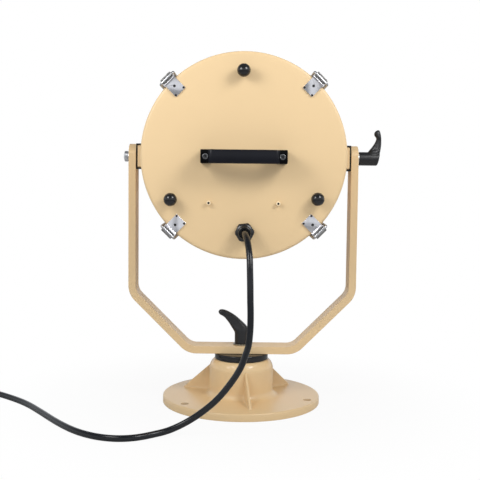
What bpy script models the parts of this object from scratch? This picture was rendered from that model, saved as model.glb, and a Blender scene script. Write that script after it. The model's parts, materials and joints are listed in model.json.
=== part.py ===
"""A yoke-mounted searchlight on a flanged pedestal.

Metres, +Z up. The origin is the centre of the base's underside. The rear
cover faces -Y, the beam leaves towards +Y, and the tilt lever is on +X.
"""

import math

import bmesh
import bpy
from mathutils import Matrix, Vector

MM = 0.001

# ---------------------------------------------------------------- dimensions
GAP = 0.3  # clearance between pieces that touch, mm

AXIS_Z = 425.0  # height of the tilt axis and of the drum's axis

FLANGE_R = 136.5
FLANGE_T = 13.0
PEDESTAL_R = 55.5
PEDESTAL_TOP = 75.3
BOLT_HOLE_R = 6.75
BOLT_CIRCLE_R = 121.0
BOLT_ANGLES = (-141.0, -21.0, 99.0)
RIB_ANGLES = (-82.0, 38.0, 158.0)
RIB_T = 4.0
STUD_R = 8.0

RING_R = 46.3
RING_TOP = 86.3

BAR_T = 12.6  # yoke bar thickness
BAR_D = 43.0  # yoke bar depth along Y
YOKE_HALF = 195.6  # outer half width
CROSS_Z = 86.6  # underside of the crossbar
BEND_R = 38.0  # outside radius of the bends
PIVOT_R = 5.0  # M10 pivots

DRUM_R = 160.0
DRUM_WALL = 2.5
DRUM_REAR_Y = -108.0
DRUM_FRONT_Y = 120.5

COVER_R = 165.0
COVER_Y = -115.0  # outer face of the rear cover
COVER_T = 2.5
COVER_RIM = 14.0

KNOB_CIRCLE_R = 134.5
KNOB_DROP = 1.5  # the knobs' circle is this far below the cover's centre
KNOB_R = 10.6
KNOB_ANGLES = {"knob_top": 90.7, "knob_left": 210.7, "knob_right": 330.7}

HANDLE_HOLES = 120.0  # screw spacing
HANDLE_LONG = 135.6
HANDLE_TALL = 21.6
HANDLE_PROUD = 41.5
HANDLE_DROP = 2.0  # below the cover's centre

STANDOFF_X, STANDOFF_DROP = 55.5, 75.3
GLAND_X, GLAND_DROP = 2.3, 121.5

LATCH_ANGLES = {1: 135.6, 2: 45.6, 3: 225.6, 4: 315.6}
LATCH_PIVOT = (-80.0, 169.5)  # (y, radius) of the lever's pin
BAIL_PIVOT = (-68.0, 168.5)
BAIL_WIRE_R = 2.25
BAIL_BAR = (-119.6, 171.5)  # (y, radius) of the bar that hooks the keeper

CORD_R = 5.0
COIL = (-532.0, 92.0)  # centre of the stored coil
COIL_R = 55.0

TAN = (0.80, 0.62, 0.40)
BLACK = (0.02, 0.021, 0.024)
STEEL = (0.62, 0.62, 0.63)

# ------------------------------------------------------------------- helpers
for old in list(bpy.data.objects):
    bpy.data.objects.remove(old, do_unlink=True)

PARTS = bpy.data.collections.new("searchlight")
CUTTERS = bpy.data.collections.new("cutters")
for group in (PARTS, CUTTERS):
    bpy.context.scene.collection.children.link(group)

ROD_TURN = 0.11  # keeps a cutter's edges off the edges of what it cuts, radians
ALONG_X = Matrix.Rotation(math.radians(90), 4, "Y")  # local Z becomes +X
ALONG_Y = Matrix.Rotation(math.radians(-90), 4, "X")  # local Z becomes +Y
ALONG_BACK = Matrix.Rotation(math.radians(90), 4, "X")  # local Z becomes -Y


def at(x, y, z):
    return Matrix.Translation(Vector((x, y, z)) * MM)


def finish(obj, colour, roughness, metallic):
    made = bpy.data.materials.new(obj.name + "_finish")
    made.use_nodes = True
    shader = made.node_tree.nodes["Principled BSDF"]
    shader.inputs["Base Color"].default_value = (*colour, 1.0)
    shader.inputs["Roughness"].default_value = roughness
    shader.inputs["Metallic"].default_value = metallic
    obj.data.materials.append(made)


def painted(obj):
    finish(obj, TAN, 0.45, 0.0)


def plastic(obj):
    finish(obj, BLACK, 0.5, 0.0)


def rubber(obj):
    finish(obj, BLACK, 0.8, 0.0)


def steel(obj):
    finish(obj, STEEL, 0.35, 1.0)


def place(obj, matrix, group=PARTS):
    group.objects.link(obj)
    obj.matrix_world = matrix
    if group is CUTTERS:
        obj.hide_render = True
        obj.display_type = "WIRE"
    return obj


def turned(name, profile, steps, matrix, group=PARTS):
    """A turned solid. profile is (radius, height) in mm round a closed section.

    A section that starts and ends on the axis is closed by the axis itself.
    """
    area = sum(
        a[0] * b[1] - b[0] * a[1]
        for a, b in zip(profile, profile[1:] + profile[:1])
    )
    points = profile if area < 0 else profile[::-1]
    on_axis = points[0][0] == 0 and points[-1][0] == 0
    mesh = bpy.data.meshes.new(name)
    edges = [(i, i + 1) for i in range(len(points) - 1)]
    if not on_axis:
        edges.append((len(points) - 1, 0))
    mesh.from_pydata([(r * MM, 0, h * MM) for r, h in points], edges, [])
    obj = place(bpy.data.objects.new(name, mesh), matrix, group)
    screw = obj.modifiers.new("Screw", "SCREW")
    screw.axis = "Z"
    screw.angle = math.tau
    screw.steps = screw.render_steps = steps
    screw.use_merge_vertices = True
    screw.merge_threshold = 1e-6
    screw.use_smooth_shade = False
    return obj


def circle(x, y, radius, count):
    return [
        (
            x + radius * math.cos(math.tau * i / count),
            y + radius * math.sin(math.tau * i / count),
        )
        for i in range(count)
    ]


def flat(name, outline, low, high, matrix, holes=(), group=PARTS):
    """A flat outline in local XY, in mm, standing from low to high along local Z."""
    curve = bpy.data.curves.new(name, "CURVE")
    curve.dimensions = "2D"
    curve.fill_mode = "BOTH"
    curve.extrude = (high - low) / 2 * MM
    for loop in (outline, *holes):
        spline = curve.splines.new("POLY")
        spline.points.add(len(loop) - 1)
        for point, (x, y) in zip(spline.points, loop):
            point.co = (x * MM, y * MM, 0, 1)
        spline.use_cyclic_u = True
    guide = bpy.data.objects.new(name + "_outline", curve)
    bpy.context.scene.collection.objects.link(guide)
    bpy.context.view_layer.update()
    graph = bpy.context.evaluated_depsgraph_get()
    mesh = bpy.data.meshes.new_from_object(guide.evaluated_get(graph))
    bpy.data.objects.remove(guide, do_unlink=True)
    work = bmesh.new()
    work.from_mesh(mesh)
    bmesh.ops.remove_doubles(work, verts=work.verts, dist=1e-7)
    bmesh.ops.translate(work, verts=work.verts, vec=(0, 0, (high + low) / 2 * MM))
    bmesh.ops.recalc_face_normals(work, faces=work.faces)
    work.to_mesh(mesh)
    work.free()
    mesh.name = name
    return place(bpy.data.objects.new(name, mesh), matrix, group)


def rod(name, radius, length, matrix, sides=16, group=CUTTERS):
    """A plain cylinder from the local origin along local Z."""
    mesh = bpy.data.meshes.new(name)
    work = bmesh.new()
    bmesh.ops.create_cone(
        work,
        cap_ends=True,
        segments=sides,
        radius1=radius * MM,
        radius2=radius * MM,
        depth=length * MM,
        matrix=Matrix.Translation((0, 0, length / 2 * MM))
        @ Matrix.Rotation(ROD_TURN, 4, "Z"),
    )
    work.to_mesh(mesh)
    work.free()
    return place(bpy.data.objects.new(name, mesh), matrix, group)


def loft(name, sections, matrix, group=PARTS):
    """A skin over rings of equal length, closed with a fan at each end."""
    mesh = bpy.data.meshes.new(name)
    work = bmesh.new()
    rings = [[work.verts.new(Vector(p) * MM) for p in ring] for ring in sections]
    count = len(rings[0])
    for low, high in zip(rings, rings[1:]):
        for i in range(count):
            j = (i + 1) % count
            work.faces.new((low[i], low[j], high[j], high[i]))
    work.faces.new(rings[0][::-1])
    work.faces.new(rings[-1])
    bmesh.ops.recalc_face_normals(work, faces=work.faces)
    bmesh.ops.triangulate(work, faces=work.faces)
    work.to_mesh(mesh)
    work.free()
    return place(bpy.data.objects.new(name, mesh), matrix, group)


def boolean(obj, other, operation):
    change = obj.modifiers.new(other.name, "BOOLEAN")
    change.operation = operation
    change.solver = "EXACT"
    change.object = other


def cut(obj, other):
    boolean(obj, other, "DIFFERENCE")


def join(obj, other):
    boolean(obj, other, "UNION")


def tube(name, points, radius, resolution, matrix=Matrix.Identity(4)):
    curve = bpy.data.curves.new(name, "CURVE")
    curve.dimensions = "3D"
    curve.bevel_depth = radius * MM
    curve.bevel_resolution = resolution
    curve.use_fill_caps = True
    spline = curve.splines.new("POLY")
    spline.points.add(len(points) - 1)
    for point, place_at in zip(spline.points, points):
        point.co = (*(Vector(place_at) * MM), 1)
    return place(bpy.data.objects.new(name, curve), matrix)


def rounded(points, radius, count=4):
    """An open polyline in 3D with its inner corners turned into arcs."""
    points = [Vector(p) for p in points]
    made = [points[0]]
    for before, corner, after in zip(points, points[1:], points[2:]):
        a = (before - corner).normalized()
        b = (after - corner).normalized()
        half = a.angle(b) / 2
        reach = radius / math.tan(half)
        centre = corner + (a + b).normalized() * (radius / math.sin(half))
        start, end = corner + a * reach - centre, corner + b * reach - centre
        for i in range(count + 1):
            made.append(centre + start.slerp(end, i / count) * radius)
    made.append(points[-1])
    return made


def smooth(points, spacing):
    """Points at an even spacing on a smooth curve through the given ones."""
    points = [Vector(p) for p in points]
    padded = [points[0] * 2 - points[1], *points, points[-1] * 2 - points[-2]]
    fine = []
    for p0, p1, p2, p3 in zip(padded, padded[1:], padded[2:], padded[3:]):
        for i in range(24):
            t = i / 24
            fine.append(
                (
                    p1 * 2
                    + (p2 - p0) * t
                    + (p0 * 2 - p1 * 5 + p2 * 4 - p3) * t**2
                    + (p1 * 3 - p0 - p2 * 3 + p3) * t**3
                )
                / 2
            )
    fine.append(points[-1])
    lengths = [0.0]
    for a, b in zip(fine, fine[1:]):
        lengths.append(lengths[-1] + (b - a).length)
    count = max(2, round(lengths[-1] / spacing))
    made, k = [], 0
    for i in range(count + 1):
        want = lengths[-1] * i / count
        while k < len(fine) - 2 and lengths[k + 1] < want:
            k += 1
        share = (want - lengths[k]) / (lengths[k + 1] - lengths[k])
        made.append(fine[k].lerp(fine[k + 1], min(1.0, share)))
    return made


HEAD = at(0, 0, AXIS_Z)


def on_cover(x, up):
    """A place on the cover's outer face, with local Z pointing out of it."""
    return at(x, COVER_Y, AXIS_Z + up) @ ALONG_BACK


def knob_place(name):
    """A knob's place on the cover, as (across, up) from the cover's centre."""
    turn = math.radians(KNOB_ANGLES[name])
    return KNOB_CIRCLE_R * math.cos(turn), KNOB_CIRCLE_R * math.sin(turn) - KNOB_DROP


# ---------------------------------------------------------------------- base
base = turned(
    "base_casting",
    [
        (0, 22),
        (STUD_R + 0.4, 22),
        (STUD_R + 0.4, PEDESTAL_TOP),
        (46.0, PEDESTAL_TOP),
        (48.6, 73.9),
        (51.9, 70.0),
        (54.4, 64.8),
        (PEDESTAL_R, 60.0),
        (PEDESTAL_R, 26.0),
        (57.5, 18.5),
        (62.0, 14.8),
        (69.0, FLANGE_T + 0.4),
        (134.4, FLANGE_T),
        (FLANGE_R, FLANGE_T - 2.0),
        (FLANGE_R, 0),
        (47.0, 0),
        (45.0, 60.0),
        (18.5, 60.0),
        (20.0, 0),
        (0, 0),
    ],
    48,
    Matrix.Identity(4),
)
for index, angle in enumerate(RIB_ANGLES):
    rib = flat(
        f"rib_{index}",
        [(50, 8), (110, 8), (110, 14.5), (57, 61.5), (50, 61.5)],
        -RIB_T / 2,
        RIB_T / 2,
        Matrix.Rotation(math.radians(angle), 4, "Z")
        @ Matrix.Rotation(math.radians(90), 4, "X"),
        group=CUTTERS,
    )
    join(base, rib)
for index, angle in enumerate(BOLT_ANGLES):
    turn = math.radians(angle)
    cut(
        base,
        rod(
            f"bolt_hole_{index}",
            BOLT_HOLE_R,
            30,
            at(BOLT_CIRCLE_R * math.cos(turn), BOLT_CIRCLE_R * math.sin(turn), -8),
        ),
    )
painted(base)

ring = turned(
    "bearing_ring",
    [
        (12, PEDESTAL_TOP + GAP),
        (RING_R - 1, PEDESTAL_TOP + GAP),
        (RING_R, PEDESTAL_TOP + 1.3),
        (RING_R, RING_TOP - 1),
        (RING_R - 1, RING_TOP),
        (12, RING_TOP),
    ],
    40,
    Matrix.Identity(4),
)
plastic(ring)

stud = turned(
    "pan_stud",
    [(0, 22.4), (STUD_R, 22.4), (STUD_R, 123), (STUD_R - 1, 124), (0, 124)],
    20,
    Matrix.Identity(4),
)
steel(stud)

# ---------------------------------------------------------------------- yoke
def bent(half, floor, radius, top):
    """One side of the bent bar: down a leg, round two 45 degree bends, to the middle.

    half is the leg's distance from the middle, floor the crossbar's height and
    radius the radius of this side's bends.
    """
    diagonal = YOKE_HALF - half
    corner_z = AXIS_Z - 236.6 + diagonal * (math.sqrt(2) - 1)
    corner_x = half - (corner_z - floor)
    reach = radius * math.tan(math.radians(22.5))
    made = [(half, top)]
    for i in range(6):
        turn = math.radians(45 * i / 5)
        made.append(
            (
                half - radius + radius * math.cos(turn),
                corner_z + reach - radius * math.sin(turn),
            )
        )
    for i in range(6):
        turn = math.radians(45 + 45 * i / 5)
        made.append(
            (
                corner_x - reach + radius * math.cos(turn),
                floor + radius - radius * math.sin(turn),
            )
        )
    return made


leg_top = AXIS_Z + 32
outer = bent(YOKE_HALF, CROSS_Z, BEND_R, leg_top)
inner = bent(YOKE_HALF - BAR_T, CROSS_Z + BAR_T, BEND_R - BAR_T, leg_top)
yoke = flat(
    "yoke",
    outer
    + [(-x, z) for x, z in outer[::-1]]
    + [(-x, z) for x, z in inner]
    + inner[::-1],
    -BAR_D / 2,
    BAR_D / 2,
    ALONG_BACK,
)
end_r, end_z = BAR_D / 2 + 0.5, AXIS_Z - 0.5
end_arc = [
    (
        end_r * math.cos(math.radians(8 + 164 * i / 14)),
        end_z + end_r * math.sin(math.radians(8 + 164 * i / 14)),
    )
    for i in range(15)
]
leg_end = flat(
    "leg_end",
    end_arc + [(-40, end_arc[0][1]), (-40, AXIS_Z + 60), (40, AXIS_Z + 60), (40, end_arc[0][1])],
    -240,
    240,
    Matrix(((0, 0, 1, 0), (1, 0, 0, 0), (0, 1, 0, 0), (0, 0, 0, 1))),
    group=CUTTERS,
)
cut(yoke, leg_end)
cut(yoke, rod("pivot_holes", PIVOT_R + 0.5, 440, at(-220, 0, AXIS_Z) @ ALONG_X, 20))
cut(yoke, rod("stud_hole", STUD_R + 0.5, 30, at(0, 0, CROSS_Z - 8), 20))
painted(yoke)

cross_top = CROSS_Z + BAR_T
washer = turned(
    "pan_washer",
    [
        (STUD_R + 0.5, cross_top + GAP),
        (15.0, cross_top + GAP),
        (15.0, cross_top + 2.2),
        (STUD_R + 0.5, cross_top + 2.2),
    ],
    24,
    Matrix.Identity(4),
)
steel(washer)


def oval(centre, along, across, half_along, half_across, count=14):
    """A ring of points on a rounded section, for a loft."""
    centre, along, across = Vector(centre), Vector(along), Vector(across)
    made = []
    for i in range(count):
        c, s = math.cos(math.tau * i / count), math.sin(math.tau * i / count)
        bulge = 1 / (abs(c) ** 2.4 + abs(s) ** 2.4) ** (1 / 2.4)
        made.append(
            centre + along * (half_along * c * bulge) + across * (half_across * s * bulge)
        )
    return made


# Pan lever: each row is the arm's lower edge and upper edge, as (out, up) from
# the hub's seat, and half the arm's width.
lever_seat = cross_top + 2.5
pan_rows = [
    ((12.0, 0.0), (-12.0, 0.0), 12.0),
    ((12.0, 11.0), (-12.0, 11.0), 12.0),
    ((12.3, 18.9), (-12.0, 24.0), 11.6),
    ((15.0, 24.4), (-9.0, 30.0), 10.6),
    ((18.4, 29.8), (-3.1, 36.1), 9.4),
    ((22.0, 35.6), (3.9, 42.5), 8.4),
    ((25.4, 39.9), (11.0, 48.5), 7.6),
    ((29.6, 45.0), (18.0, 53.0), 7.0),
    ((34.0, 48.2), (25.1, 56.7), 6.5),
    ((38.1, 50.4), (31.0, 58.7), 5.8),
    ((40.2, 53.0), (35.0, 59.2), 4.4),
    ((40.8, 55.4), (38.6, 58.6), 2.2),
]
rings = []
for low, high, width in pan_rows:
    a, b = Vector((-low[0], 0, low[1])), Vector((-high[0], 0, high[1]))
    rings.append(
        oval((a + b) / 2, (b - a).normalized(), (0, 1, 0), (b - a).length / 2, width)
    )
pan_lever = loft("pan_lever", rings, at(0, 0, lever_seat))
cut(pan_lever, rod("pan_lever_bore", STUD_R + 0.4, 30, at(0, 0, 124.6 - 30), 20))
plastic(pan_lever)

# ------------------------------------------------------------ tilt pivots
leg_in, leg_out = YOKE_HALF - BAR_T, YOKE_HALF
drum_cutter = rod("drum_cutter", DRUM_R + GAP, 120, at(0, -60, AXIS_Z) @ ALONG_Y, 96)
for side, name in ((-1, "left"), (1, "right")):
    block_out = leg_in - 2.6
    outline = [
        (-20, -17), (-18, -19), (18, -19), (20, -17),
        (20, 17), (18, 19), (-18, 19), (-20, 17),
    ]
    facing = HEAD @ Matrix(
        ((0, 0, side, 0), (side, 0, 0, 0), (0, 1, 0, 0), (0, 0, 0, 1))
    )
    block = flat(
        f"trunnion_{name}",
        outline,
        150,
        block_out,
        facing,
        holes=[circle(0, 0, PIVOT_R + 0.5, 20)],
    )
    cut(block, drum_cutter)
    painted(block)
    pad = flat(
        f"friction_pad_{name}",
        [
            (leg_in - 8.0, 19.3), (leg_in - 2.3, 19.3), (leg_in - 2.3, -19.3),
            (leg_in - 8.0, -19.3), (leg_in - 8.0, -21.6), (leg_in - GAP, -21.6),
            (leg_in - GAP, 21.6), (leg_in - 8.0, 21.6),
        ],
        -20.2,
        20.2,
        HEAD
        @ Matrix(((side, 0, 0, 0), (0, 0, -side, 0), (0, 1, 0, 0), (0, 0, 0, 1))),
    )
    cut(
        pad,
        rod(
            f"pad_hole_{name}",
            PIVOT_R + 0.5,
            40,
            at(side * (leg_in - 20), 0, AXIS_Z)
            @ Matrix.Rotation(math.radians(90 * side), 4, "Y"),
            20,
        ),
    )
    rubber(pad)

OUT_LEFT = HEAD @ Matrix.Rotation(math.radians(-90), 4, "Y")  # local Z is -X
bolt = turned(
    "pivot_bolt",
    [(0, 152.0), (PIVOT_R, 152.0), (PIVOT_R, 204.9), (PIVOT_R - 0.8, 205.7), (0, 205.7)],
    20,
    OUT_LEFT,
)
bolt_head = turned(
    "pivot_bolt_head",
    [(0, 149.4), (9.6, 149.4), (9.6, 156.6), (0, 156.6)],
    6,
    OUT_LEFT,
    CUTTERS,
)
join(bolt, bolt_head)
steel(bolt)
nut = turned(
    "pivot_nut",
    [
        (6.3, leg_out + 2.5), (9.3, leg_out + 2.5),
        (9.3, leg_out + 9.0), (6.3, leg_out + 9.0),
    ],
    6,
    OUT_LEFT,
)
steel(nut)
left_washer = turned(
    "pivot_washer",
    [
        (PIVOT_R + 0.5, leg_out + GAP), (9.9, leg_out + GAP),
        (9.9, leg_out + 2.2), (PIVOT_R + 0.5, leg_out + 2.2),
    ],
    24,
    OUT_LEFT,
)
steel(left_washer)

OUT_RIGHT = HEAD @ ALONG_X
right_washer = turned(
    "tilt_washer",
    [
        (PIVOT_R + 0.5, leg_out + GAP), (12.0, leg_out + GAP),
        (12.0, leg_out + 2.2), (PIVOT_R + 0.5, leg_out + 2.2),
    ],
    24,
    OUT_RIGHT,
)
steel(right_washer)
tilt_stud = turned(
    "tilt_stud",
    [(0, 163.5), (PIVOT_R - 1, 163.5), (PIVOT_R, 164.5), (PIVOT_R, 220.0), (0, 220.0)],
    20,
    OUT_RIGHT,
)
steel(tilt_stud)

hub_seat = leg_out + 2.5
HUB_END, HUB_SLANT = 232.25, 0.205  # the end face leans outwards at its top


def hub_ring(along, slant, radius, count=24):
    """A ring of the hub, its plane leaning by the given slope."""
    made = []
    for i in range(count):
        y, up = radius * math.cos(math.tau * i / count), radius * math.sin(math.tau * i / count)
        made.append((along + slant * up, y, up))
    return made


tilt_lever = loft(
    "tilt_lever",
    [
        hub_ring(hub_seat, 0, 11.6),
        hub_ring(215.0, 0, 11.6),
        hub_ring(HUB_END - 2.4, HUB_SLANT, 11.6),
        hub_ring(HUB_END, HUB_SLANT, 9.6),
    ],
    HEAD,
)
# Arm: each row is the height above the hub's axis, the inner and outer edge as
# distances from the middle plane, and half the arm's width.
arm_rows = [
    (1.0, 213.5, 230.6, 8.6),
    (8.0, 213.5, 233.2, 9.0),
    (11.5, 214.2, 234.8, 8.8),
    (15.0, 216.6, 235.5, 8.0),
    (18.5, 219.6, 236.0, 7.2),
    (22.0, 222.2, 236.4, 6.6),
    (25.5, 224.5, 236.6, 6.1),
    (29.0, 226.4, 236.6, 5.8),
    (32.5, 227.7, 236.5, 5.6),
    (35.2, 228.1, 236.4, 5.6),
    (37.5, 226.6, 236.2, 5.6),
    (40.0, 224.8, 235.8, 5.6),
    (42.5, 224.2, 235.3, 5.4),
    (45.0, 224.7, 234.7, 5.0),
    (47.3, 226.4, 233.8, 4.0),
    (49.4, 229.6, 232.4, 1.8),
]
arm = loft(
    "tilt_arm",
    [
        oval(((a + b) / 2, 0, up), (1, 0, 0), (0, 1, 0), (b - a) / 2, width)
        for up, a, b, width in arm_rows
    ],
    HEAD,
    CUTTERS,
)
join(tilt_lever, arm)
cut(tilt_lever, rod("tilt_lever_bore", PIVOT_R + 0.4, 40, at(180.4, 0, AXIS_Z) @ ALONG_X, 20))
plastic(tilt_lever)

# ---------------------------------------------------------------------- drum
FORWARD = HEAD @ ALONG_Y
drum = turned(
    "drum_shell",
    [
        (DRUM_R, DRUM_REAR_Y), (DRUM_R, DRUM_FRONT_Y),
        (150, DRUM_FRONT_Y), (150, DRUM_FRONT_Y - DRUM_WALL),
        (DRUM_R - DRUM_WALL, DRUM_FRONT_Y - DRUM_WALL),
        (DRUM_R - DRUM_WALL, DRUM_REAR_Y + DRUM_WALL),
        (150, DRUM_REAR_Y + DRUM_WALL), (150, DRUM_REAR_Y),
    ],
    64,
    FORWARD,
)
cut(drum, rod("bolt_way", PIVOT_R + 0.5, 40, at(-180, 0, AXIS_Z) @ ALONG_X, 20))
painted(drum)

bezel = turned(
    "front_bezel",
    [
        (DRUM_R + 0.6, 104.0), (DRUM_R + 3.6, 104.0), (DRUM_R + 3.6, 133.5),
        (DRUM_R + 1.6, 135.5), (149.0, 135.5), (149.0, 132.5), (DRUM_R + 0.6, 132.5),
    ],
    64,
    FORWARD,
)
painted(bezel)

lens = turned(
    "lens",
    [
        (0, 135.6), (60, 134.6), (110, 131.6), (148, 126.8), (159.6, 126.8),
        (159.6, 132.2), (148, 132.2), (110, 137.1), (60, 140.1), (0, 141.1),
    ],
    40,
    FORWARD,
)
finish(lens, (0.85, 0.9, 0.9), 0.05, 0.0)

lens_gasket = turned(
    "lens_gasket",
    [(150.5, 123.1), (159.6, 123.1), (159.6, 126.5), (150.5, 126.5)],
    40,
    FORWARD,
)
rubber(lens_gasket)

FOCAL, VERTEX_Y = 60.0, 30.2


def dish(radius):
    return VERTEX_Y + radius**2 / (4 * FOCAL)


dish_radii = [26, 52, 80, 108, 130, 148]
reflector = turned(
    "reflector",
    [(r, dish(r)) for r in dish_radii]
    + [(159.0, 122.8), (159.0, 120.8), (149.4, 120.8)]
    + [(r, dish(r) - 3.0) for r in dish_radii[::-1]],
    40,
    FORWARD,
)
finish(reflector, (0.9, 0.9, 0.9), 0.08, 1.0)

lamp = turned(
    "lamp",
    [
        (0, 8.0), (9.5, 8.0), (9.5, 28.0), (13.0, 33.0), (14.0, 40.0),
        (14.0, 80.0), (11.0, 90.0), (5.0, 95.5), (0, 96.5),
    ],
    18,
    FORWARD,
)
finish(lamp, (0.9, 0.9, 0.86), 0.1, 0.0)

holder = turned(
    "lamp_holder",
    [
        (0, -87.7), (21.5, -87.7), (21.5, 20.0), (19.0, 27.0),
        (10.0, 27.0), (10.0, 7.6), (0, 7.6),
    ],
    24,
    FORWARD,
)
finish(holder, (0.86, 0.84, 0.8), 0.6, 0.0)

carrier_holes = [circle(GLAND_X, -GLAND_DROP, 9.0, 16)]
for name in KNOB_ANGLES:
    carrier_holes.append(circle(*knob_place(name), 4.6, 12))
carrier = flat(
    "lamp_carrier",
    circle(0, 0, 143, 40),
    88.0,
    90.0,
    HEAD @ ALONG_BACK,
    holes=carrier_holes,
)
finish(carrier, (0.7, 0.7, 0.7), 0.4, 1.0)

# ---------------------------------------------------------------- rear cover
cover = turned(
    "rear_cover",
    [
        (0, COVER_Y), (30, COVER_Y), (160.5, COVER_Y), (163.7, COVER_Y + 1.3), (COVER_R, COVER_Y + 4.5),
        (COVER_R, COVER_Y + COVER_RIM), (COVER_R - COVER_T, COVER_Y + COVER_RIM),
        (COVER_R - COVER_T, COVER_Y + 5.0), (160.0, COVER_Y + COVER_T), (30, COVER_Y + COVER_T),
        (0, COVER_Y + COVER_T),
    ],
    64,
    FORWARD,
)
for name in KNOB_ANGLES:
    x, up = knob_place(name)
    cut(cover, rod(f"{name}_hole", 4.6, 12, on_cover(x, up) @ at(0, 0, -8), 12))
    points = [(0, -28.0), (4.0, -28.0), (4.0, 0.6), (6.4, 0.6), (5.9, 3.6)]
    centre = 14.2
    start = math.degrees(math.asin(math.sqrt(1 - (5.6 / KNOB_R) ** 2)))
    for i in range(7):
        tilt = math.radians(-start + (start + 90) * i / 6)
        points.append((KNOB_R * math.cos(tilt) if i < 6 else 0, centre + KNOB_R * math.sin(tilt)))
    knob = turned(name, points, 16, on_cover(x, up))
    plastic(knob)

gland_way = rod("gland_hole", 10.3, 12, on_cover(GLAND_X, -GLAND_DROP) @ at(0, 0, -8), 20)
cut(cover, gland_way)
for side in (-1, 1):
    cut(
        cover,
        rod(
            f"screw_hole_{side}",
            3.5,
            12,
            on_cover(side * HANDLE_HOLES / 2, -HANDLE_DROP) @ at(0, 0, -8),
            12,
        ),
    )
painted(cover)

cover_gasket = turned(
    "cover_gasket",
    [(151.0, -112.2), (159.4, -112.2), (159.4, -108.3), (151.0, -108.3)],
    40,
    FORWARD,
)
rubber(cover_gasket)

for side, name in ((-1, "left"), (1, "right")):
    standoff = turned(
        f"standoff_{name}",
        [
            (0, 1.5), (1.5, 1.5), (1.5, 6.3), (2.9, 6.3),
            (3.6, 5.6), (3.6, GAP), (0, GAP),
        ],
        14,
        on_cover(side * STANDOFF_X, -STANDOFF_DROP),
    )
    painted(standoff)

# -------------------------------------------------------------------- handle
half = HANDLE_LONG / 2
arch = [
    (-half, GAP), (-half, 35.2), (-half + 1.4, 36.6), (-55.4, 36.6), (-52.2, HANDLE_PROUD),
    (52.2, HANDLE_PROUD), (55.4, 36.6), (half - 1.4, 36.6), (half, 35.2), (half, GAP),
    (51.6, GAP), (51.0, 21.5), (49.0, 26.0), (44.5, 28.0),
    (-44.5, 28.0), (-49.0, 26.0), (-51.0, 21.5), (-51.6, GAP),
]
grip_at = at(0, COVER_Y, AXIS_Z - HANDLE_DROP)
handle = flat(
    "handle",
    arch,
    -HANDLE_TALL / 2,
    HANDLE_TALL / 2,
    grip_at @ Matrix(((1, 0, 0, 0), (0, -1, 0, 0), (0, 0, -1, 0), (0, 0, 0, 1))),
)
for side, name in ((-1, "left"), (1, "right")):
    there = on_cover(side * HANDLE_HOLES / 2, -HANDLE_DROP)
    cut(
        handle,
        turned(
            f"screw_way_{name}",
            [(0, -4), (3.4, -4), (3.4, 30.0), (5.6, 30.0), (5.6, 60.0), (0, 60.0)],
            16,
            there,
            CUTTERS,
        ),
    )
    screw = turned(
        f"handle_screw_{name}",
        [
            (0, -9.0), (3.0, -9.0), (3.0, 30.3), (4.9, 30.3), (4.9, 35.8),
            (4.4, 36.3), (2.4, 36.3), (2.4, 33.2), (0, 33.2),
        ],
        16,
        there,
    )
    steel(screw)

# --------------------------------------------------------------- cable gland
there = on_cover(GLAND_X, -GLAND_DROP)
gland_body = turned(
    "gland_body",
    [(5.6, -12.0), (9.8, -12.0), (9.8, 12.5), (5.6, 12.5)],
    20,
    there,
)
join(
    gland_body,
    turned(
        "gland_hex",
        [(7.6, GAP), (15.6, GAP), (15.6, 5.8), (7.6, 5.8)],
        6,
        there,
        CUTTERS,
    ),
)
plastic(gland_body)
gland_nut = turned(
    "gland_nut",
    [
        (13.0, 6.1), (13.0, 15.0), (11.4, 19.4), (7.8, 23.2),
        (5.7, 23.2), (5.7, 13.0), (10.2, 13.0), (10.2, 6.1),
    ],
    20,
    there,
)
join(
    gland_nut,
    turned(
        "gland_nut_hex",
        [(12.4, 6.3), (15.4, 6.3), (15.4, 14.2), (12.4, 14.2)],
        6,
        there @ Matrix.Rotation(math.radians(28), 4, "Z"),
        CUTTERS,
    ),
)
plastic(gland_nut)
locknut = turned(
    "gland_locknut",
    [(11.7, -9.0), (15.6, -9.0), (15.6, -2.9), (11.7, -2.9)],
    6,
    there,
)
plastic(locknut)

lead_z = AXIS_Z - GLAND_DROP
inner_lead = tube(
    "inner_lead",
    rounded(
        [
            (GLAND_X, COVER_Y - 21.0, lead_z),
            (GLAND_X, -57.0, lead_z),
            (GLAND_X, -57.0, AXIS_Z - 22.1),
        ],
        28.0,
        6,
    ),
    4.5,
    2,
)
rubber(inner_lead)

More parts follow.
